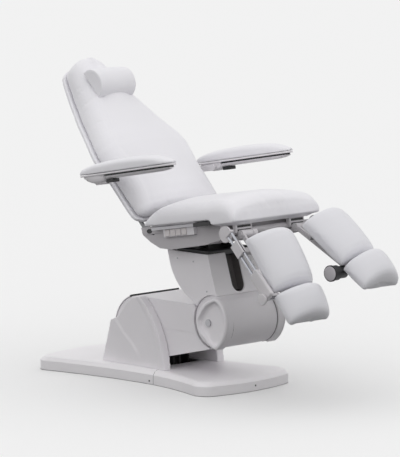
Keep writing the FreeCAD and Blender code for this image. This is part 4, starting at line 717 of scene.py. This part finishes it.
shadow_block = box_rings((0.292, -0.262, -0.015), (0.392, -0.202, 0.001))
hard_piece("side_shadow_block", shadow_block, SEAT_PLACE, black_moulding, "seat")
plug = disc_rings(HULL_PLUG, squash=0.6)
hard_piece("hull_plug", plug, PLUG_PLACE, black_moulding, "seat")
for side_name, side in SIDES:
    rings = [[(x, side * y, z) for x, z in RIM_OUTLINE] for y in (0.1965, 0.2030)]
    hard_piece(f"{side_name}_hull_rim", rings, SEAT_PLACE, shaded_hull_paint, "seat")
# The boot is black rubber, and its black is also painted shade for the dark under the hull.
shade_boot = box_rings((0.205, -0.125, 0.560), (0.398, 0.125, 0.590), 0.006)
hard_piece("column_boot_shade", shade_boot, AS_IT_STANDS, black_moulding, "column")
panel = box_rings((0.4215, -0.236, -0.080), (0.4265, 0.236, -0.016))
hard_piece("front_panel", panel, SEAT_PLACE, shaded_hull_paint, "seat")


# The backrest: a thin padded shell behind and a deep cushion in front of it, both narrowed at the
# waist and drawn in to a rounded head.
BACK_PLACE = Matrix.Translation((0.165, 0, 0.630)) @ Matrix.Rotation(math.radians(-44), 4, "Y")
SHELL_DEPTH = 0.019
COVER_GAP = 0.0035
BACK_STATIONS = [
    (0.100, 0.205, -0.022, 0.006, 0.002), (0.104, 0.222, -0.022, 0.024, 0.006),
    (0.112, 0.238, -0.023, 0.042, 0.010), (0.130, 0.246, -0.025, 0.058, 0.013),
    (0.160, 0.247, -0.027, 0.068, 0.015), (0.207, 0.246, -0.029, 0.075, 0.016),
    (0.324, 0.246, -0.031, 0.080, 0.016), (0.400, 0.256, -0.0315, 0.080, 0.016),
    (0.440, 0.260, -0.0318, 0.079, 0.016), (0.490, 0.250, -0.0345, 0.074, 0.016),
    (0.546, 0.229, -0.045, 0.066, 0.016), (0.600, 0.208, -0.057, 0.060, 0.016),
    (0.664, 0.184, -0.071, 0.055, 0.015), (0.730, 0.156, -0.083, 0.052, 0.015),
    (0.801, 0.132, -0.0908, 0.050, 0.015), (0.860, 0.116, -0.090, 0.049, 0.014),
    (0.916, 0.101, -0.0875, 0.047, 0.012), (0.940, 0.090, -0.0865, 0.043, 0.009),
    (0.958, 0.072, -0.0855, 0.034, 0.005), (0.970, 0.050, -0.085, 0.018, 0.003),
    (0.977, 0.026, -0.085, -0.004, 0.001),
]
shell_rings, cushion_rings = [], []
for along, half, rear, front, dome in evened(BACK_STATIONS, 84):
    section = pad_ring(half, rear, rear + SHELL_DEPTH, 0.006, 0.005, 0.0)
    shell_rings.append([(depth, across, along) for depth, across in section])
    section = pad_ring(half - 0.003, rear + SHELL_DEPTH + COVER_GAP, front, 0.009, 0.075, dome * 1.5)
    cushion_rings.append([(depth, across, along) for depth, across in section])
upholster(
    "back_shell_upholstery", shell_rings, BACK_PLACE, "backrest", "back_shell", white_leatherette,
    voxel=0.005, rounds=2,
)
upholster(
    "back_upholstery", cushion_rings, BACK_PLACE, "backrest", "back_cushion", white_leatherette,
    voxel=0.006, rounds=3, draw_in=0.002, most=0.005,
)
dress(cover_paint, "armrest_brackets")


# The head pillow: a half-round block of firm foam with flat ends in the same leatherette, held on
# the cushion by a strap behind. Its underside follows the cushion's crown.
PILLOW_ALONG = 0.792
PILLOW_REACH = 0.070
PILLOW_FRONT = 0.120
PILLOW_REAR = 0.044
CROWN_DEPTH = 0.0205
CROWN_HALF = 0.116
PILLOW_STATIONS = [
    (-0.102, 0.955), (-0.1005, 0.985), (-0.096, 1.0), (-0.060, 1.0), (-0.020, 1.0),
    (0.020, 1.0), (0.060, 1.0), (0.096, 1.0), (0.1005, 0.985), (0.102, 0.955),
]
pillow_rings = []
for across, scale in PILLOW_STATIONS:
    reach = PILLOW_REACH * scale
    rest_on = PILLOW_REAR + CROWN_DEPTH * (1 - (across / CROWN_HALF) ** 2)
    ring = [(rest_on, across, PILLOW_ALONG + reach * share) for share in (-1, -0.6, -0.2, 0.2, 0.6)]
    for step in range(29):
        turn = math.pi * step / 28
        swell = (PILLOW_FRONT - rest_on) * scale * math.sin(turn) ** 0.9
        ring.append((rest_on + swell, across, PILLOW_ALONG + reach * math.cos(turn)))
    pillow_rings.append(ring)
upholster(
    "pillow_upholstery", pillow_rings, BACK_PLACE, "head_pillow", "head_pillow", white_leatherette,
    voxel=0.004, rounds=1,
)


# The armrests: a long pad that runs out to a point, on a moulded shell whose lip hangs over a
# recess and whose rear swells round the pivot. The black strip in the recess is painted shade for
# the shadow under the lip.
ARM_PAD_STATIONS = [
    (-0.120, 0.034, 0.018), (-0.117, 0.041, 0.027), (-0.110, 0.047, 0.034), (-0.095, 0.053, 0.039),
    (-0.060, 0.060, 0.040), (-0.014, 0.066, 0.040), (0.067, 0.070, 0.040), (0.147, 0.072, 0.040),
    (0.225, 0.071, 0.040), (0.303, 0.067, 0.040), (0.350, 0.061, 0.038), (0.385, 0.053, 0.034),
    (0.410, 0.045, 0.028), (0.428, 0.038, 0.020), (0.438, 0.033, 0.012),
]
ARM_CORE_STATIONS = [
    (-0.098, 0.012, 0.020), (-0.094, 0.006, 0.027), (-0.080, -0.003, 0.032), (-0.055, -0.012, 0.034),
    (-0.029, -0.0165, 0.034), (0.000, -0.016, 0.034), (0.020, -0.011, 0.032), (0.030, -0.004, 0.029),
]
ARM_KEEL_STATIONS = [
    (0.018, -0.006, 0.026), (0.060, -0.003, 0.028), (0.117, -0.0015, 0.028), (0.250, -0.0015, 0.028),
    (0.360, -0.001, 0.026), (0.400, 0.002, 0.021), (0.420, 0.006, 0.014),
]
ARM_PIVOT = (-0.004, 0.345, 0.876)
ARM_TILT = -10


def laid_along(along, half_section):
    """A ring of an armrest piece, from half of its section as height and width."""
    return [(along, across, height) for height, across in both_sides(half_section)]


for side_name, side in SIDES:
    arm_place = Matrix.Translation((ARM_PIVOT[0], side * ARM_PIVOT[1], ARM_PIVOT[2]))
    arm_place = arm_place @ Matrix.Rotation(math.radians(ARM_TILT), 4, "Y")
    pad_rings, lip_rings, core_rings, keel_rings, recess_shade_rings = [], [], [], [], []
    for along, top, half in evened(ARM_PAD_STATIONS, 44):
        section = pad_ring(half, 0.0275, top, 0.003, 0.020, 0.005)
        pad_rings.append([(along, across, height) for height, across in section])
        section = pad_ring(half - 0.001, 0.0185, 0.0255, 0.0015, 0.0015, 0.0)
        lip_rings.append([(along * 0.995, across, height) for height, across in section])
    for along, bottom, half in ARM_CORE_STATIONS:
        core_rings.append(laid_along(along, [
            (0.0195, 0), (0.0195, half * 0.5), (0.0195, half), (0.012, half), (bottom + 0.009, half * 0.92),
            (bottom + 0.003, half * 0.72), (bottom + 0.0005, half * 0.42), (bottom, 0),
        ]))
    for along, bottom, half in ARM_KEEL_STATIONS:
        keel_rings.append(laid_along(along, [
            (0.0115, 0), (0.0115, half * 0.6), (0.0115, half), (0.009, half * 0.99), (bottom + 0.003, half * 0.55),
            (bottom + 0.0008, half * 0.40), (bottom, half * 0.2), (bottom, 0),
        ]))
        recess_shade_rings.append(laid_along(along, [
            (0.0105, 0), (0.0105, half * 0.75), (0.0195, half * 0.75), (0.0195, 0),
        ]))
    arm = f"{side_name}_armrest"
    upholster(
        f"{arm}_upholstery", pad_rings, arm_place, arm, f"{arm}_pad", white_leatherette,
        voxel=0.004, rounds=1,
    )
    hard_piece(f"{arm}_lip", lip_rings, arm_place, cover_paint, arm, nodes=(f"{arm}_shell",))
    hard_piece(f"{arm}_heel", core_rings, arm_place, cover_paint, arm, angle=60)
    hard_piece(f"{arm}_keel", keel_rings, arm_place, cover_paint, arm, angle=60)
    # A small black block under the shell: painted shadow for the shade at the hinge.
    stop = box_rings((0.030, -0.020, -0.018), (0.078, 0.020, -0.003), 0.004)
    hard_piece(f"{arm}_shade_stop", stop, arm_place, black_moulding, arm)
    hard_piece(f"{arm}_recess_shade", recess_shade_rings, arm_place, black_moulding, arm)


# The leg supports: a swivel block and leg frame in white steel, chrome slide rods with an end
# plate and a sleeve, an arched calf pad, and an arched foot pad that turns about its own shaft
# between a plain button and a foam-covered clamp knob.
# The leg pads' leatherette is the seat's, made greyer as painted shade for the dimmer light on the pads.
SHADED_LEG_WHITE = (0.765, 0.760, 0.795)
CHROME = (0.50, 0.51, 0.55)
GRIP_BLACK = (0.020, 0.020, 0.022)
CAP_GREY = (0.50, 0.48, 0.50)
LEG_PIVOT = (0.662, 0.158, 0.692)
SEAT_PITCH = -9.5
TOE_OUT = 2.5
PAD_PITCH = 7
LEGS = [("right", -1, 44.0), ("left", 1, 27.5)]
PADS = [("calf", "leg", 0.068, 0.328, 0.10), ("foot", "foot", 0.344, 0.480, 0.22)]
PAD_HALF = 0.117
PAD_LOW = 0.0645
PAD_RISE = 0.115
PAD_EDGE = 0.24
PAD_CREST = 1.04
ARCH_POWER = 1.72
PAD_STATIONS = [
    (0.000, 0.930, 0.34), (0.008, 0.960, 0.52), (0.025, 0.985, 0.72), (0.060, 1.000, 0.88), (0.130, 1.000, 0.97),
    (0.250, 1.000, 1.00), (0.500, 1.000, 0.99), (0.750, 0.985, 0.95), (0.870, 0.965, 0.90), (0.940, 0.945, 0.80),
    (0.975, 0.925, 0.64), (0.992, 0.900, 0.45), (1.000, 0.870, 0.30),
]
ROD_SIDE = 0.127
ROD_HEIGHTS = (0.012, 0.039)
ROD_RADIUS = 0.0052
ROD_ENDS = (0.010, 0.225)
SLOT_HEIGHTS = (0.010, 0.027)
SHAFT_ALONG = 0.335
SHAFT_TURNING = [(0.0085, 0.143), (0.0088, 0.142), (0.0088, -0.157), (0.0085, -0.158)]
GRIP_TURNING = [(0.024, -0.070), (0.026, -0.073), (0.026, -0.121), (0.024, -0.1215)]
BUTTON_TURNING = [
    (0.0150, 0.1400), (0.0225, 0.1405), (0.0235, 0.1425), (0.0235, 0.1490), (0.0215, 0.1515), (0.0100, 0.1525),
]
CAP_TURNING = [
    (0.0290, -0.1570), (0.0300, -0.1590), (0.0290, -0.1610), (0.0250, -0.1622), (0.0080, -0.1626),
]


def arch_ring(half, low, edge, top, power):
    """Section of an arched pad: flat below, low sides, a full arch over them."""
    ring = [(low, (half - 0.008) * step / 5) for step in range(6)]
    ring += [(low + 0.002, half - 0.003), (low + 0.007, half)]
    for step in range(1, 17):
        turn = math.pi / 2 * step / 16
        across = half * max(0.0, math.cos(turn)) ** (2 / power)
        ring.append((edge + (top - edge) * math.sin(turn) ** (2 / power), across if step < 16 else 0))
    return both_sides(ring)


def turned(profile, side, count=40):
    """Rings of a piece turned about the foot's shaft, for one leg."""
    return disc_rings([(radius, side * y) for radius, y in profile], count)


rod_round = [
    (ROD_RADIUS * math.cos(math.pi * step / 12), ROD_RADIUS * math.sin(math.pi * step / 12)) for step in range(24)
]
# A greyer copy of the seat's leatherette: painted shade on the leg pads.
shaded_leg_leatherette = leatherette("shaded_leg_leatherette", SHADED_LEG_WHITE)
chrome = finish("chrome", CHROME, 0.10, metal=1.0, spread=0.02, scale=60)
fine_bump(chrome, 400, 0.00002)
grip_foam = finish("grip_foam", GRIP_BLACK, 0.55, spread=0.15, scale=80)
fine_bump(grip_foam, 1500, 0.0003)
cap_grey = finish("cap_grey", CAP_GREY, 0.45)
fine_bump(cap_grey, 900, 0.0001)
for side_name, side, pitch in LEGS:
    dress(frame_paint, f"{side_name}_swivel_block", f"{side_name}_leg_frame", f"{side_name}_foot_plate")
    dress(grip_foam, f"{side_name}_foot_knob")
    swivel, extension, knob = f"{side_name}_swivel", f"{side_name}_extension", f"{side_name}_knob"
    level_place = Matrix.Translation((LEG_PIVOT[0], side * LEG_PIVOT[1], LEG_PIVOT[2]))
    level_place = level_place @ Matrix.Rotation(math.radians(SEAT_PITCH), 4, "Y")
    level_place = level_place @ Matrix.Rotation(math.radians(side * TOE_OUT), 4, "Z")
    leg_place = level_place @ Matrix.Rotation(math.radians(pitch - SEAT_PITCH), 4, "Y")
    pad_place = leg_place @ Matrix.Rotation(math.radians(PAD_PITCH), 4, "Y")
    shaft_place = leg_place @ Matrix.Translation((SHAFT_ALONG, 0, 0))
    for label, body, start, stop, fall in PADS:
        rings = []
        for share, wide, full in evened(PAD_STATIONS, 48):
            height = PAD_RISE * full * (1 - fall * share**2)
            edge, top = PAD_LOW + height * PAD_EDGE, PAD_LOW + height * PAD_CREST
            section = arch_ring(PAD_HALF * wide, PAD_LOW, edge, top, ARCH_POWER)
            rings.append([(start + (stop - start) * share, across, depth) for depth, across in section])
        upholster(
            f"{side_name}_{label}_upholstery", rings, pad_place, f"{side_name}_{body}", f"{side_name}_{label}_pad",
            shaded_leg_leatherette, voxel=0.005, rounds=2, draw_in=0.001, most=0.003,
        )
    housing = box_rings((-0.040, -0.047, 0.004), (-0.019, 0.047, 0.044), 0.003)
    hard_piece(f"{side_name}_swivel_housing", housing, level_place, frame_paint, swivel)
    for number, low in enumerate(SLOT_HEIGHTS, start=1):
        slot = box_rings((-0.0200, -0.038, low), (-0.0185, 0.038, low + 0.010), 0.0006)
        hard_piece(f"{side_name}_housing_slot_{number}", slot, level_place, black_moulding, swivel)
    bar = box_rings((0.031, -0.0275, -0.0065), (0.346, 0.0275, 0.0105), 0.002)
    nodes = (f"{side_name}_foot_slide",)
    hard_piece(f"{side_name}_slide_bar", bar, leg_place, frame_paint, extension, nodes=nodes)
    for number, height in enumerate(ROD_HEIGHTS, start=1):
        rod = [[(along, y, z) for y, z in rod_round] for along in ROD_ENDS]
        place = leg_place @ Matrix.Translation((0, side * ROD_SIDE, height))
        hard_piece(f"{side_name}_slide_rod_{number}", rod, place, chrome, extension)
    rod_y = side * ROD_SIDE
    end_plate = box_rings((0.006, rod_y - 0.0085, 0.003), (0.016, rod_y + 0.0085, 0.048), 0.002)
    hard_piece(f"{side_name}_rod_end_plate", end_plate, leg_place, frame_paint, extension)
    sleeve = box_rings((0.215, rod_y - 0.010, -0.004), (0.348, rod_y + 0.010, 0.050), 0.005)
    hard_piece(f"{side_name}_rod_sleeve", sleeve, leg_place, frame_paint, extension)
    shaft = turned(SHAFT_TURNING, side, 24)
    hard_piece(f"{side_name}_foot_shaft", shaft, shaft_place, plain_steel, extension)
    grip = turned(GRIP_TURNING, side, 32)
    hard_piece(f"{side_name}_knob_sleeve", grip, shaft_place, grip_foam, knob)
    button = turned(BUTTON_TURNING, side)
    hard_piece(f"{side_name}_shaft_button", button, shaft_place, frame_paint, extension)
    cap = turned(CAP_TURNING, side)
    hard_piece(f"{side_name}_knob_button", cap, shaft_place, cap_grey, knob)
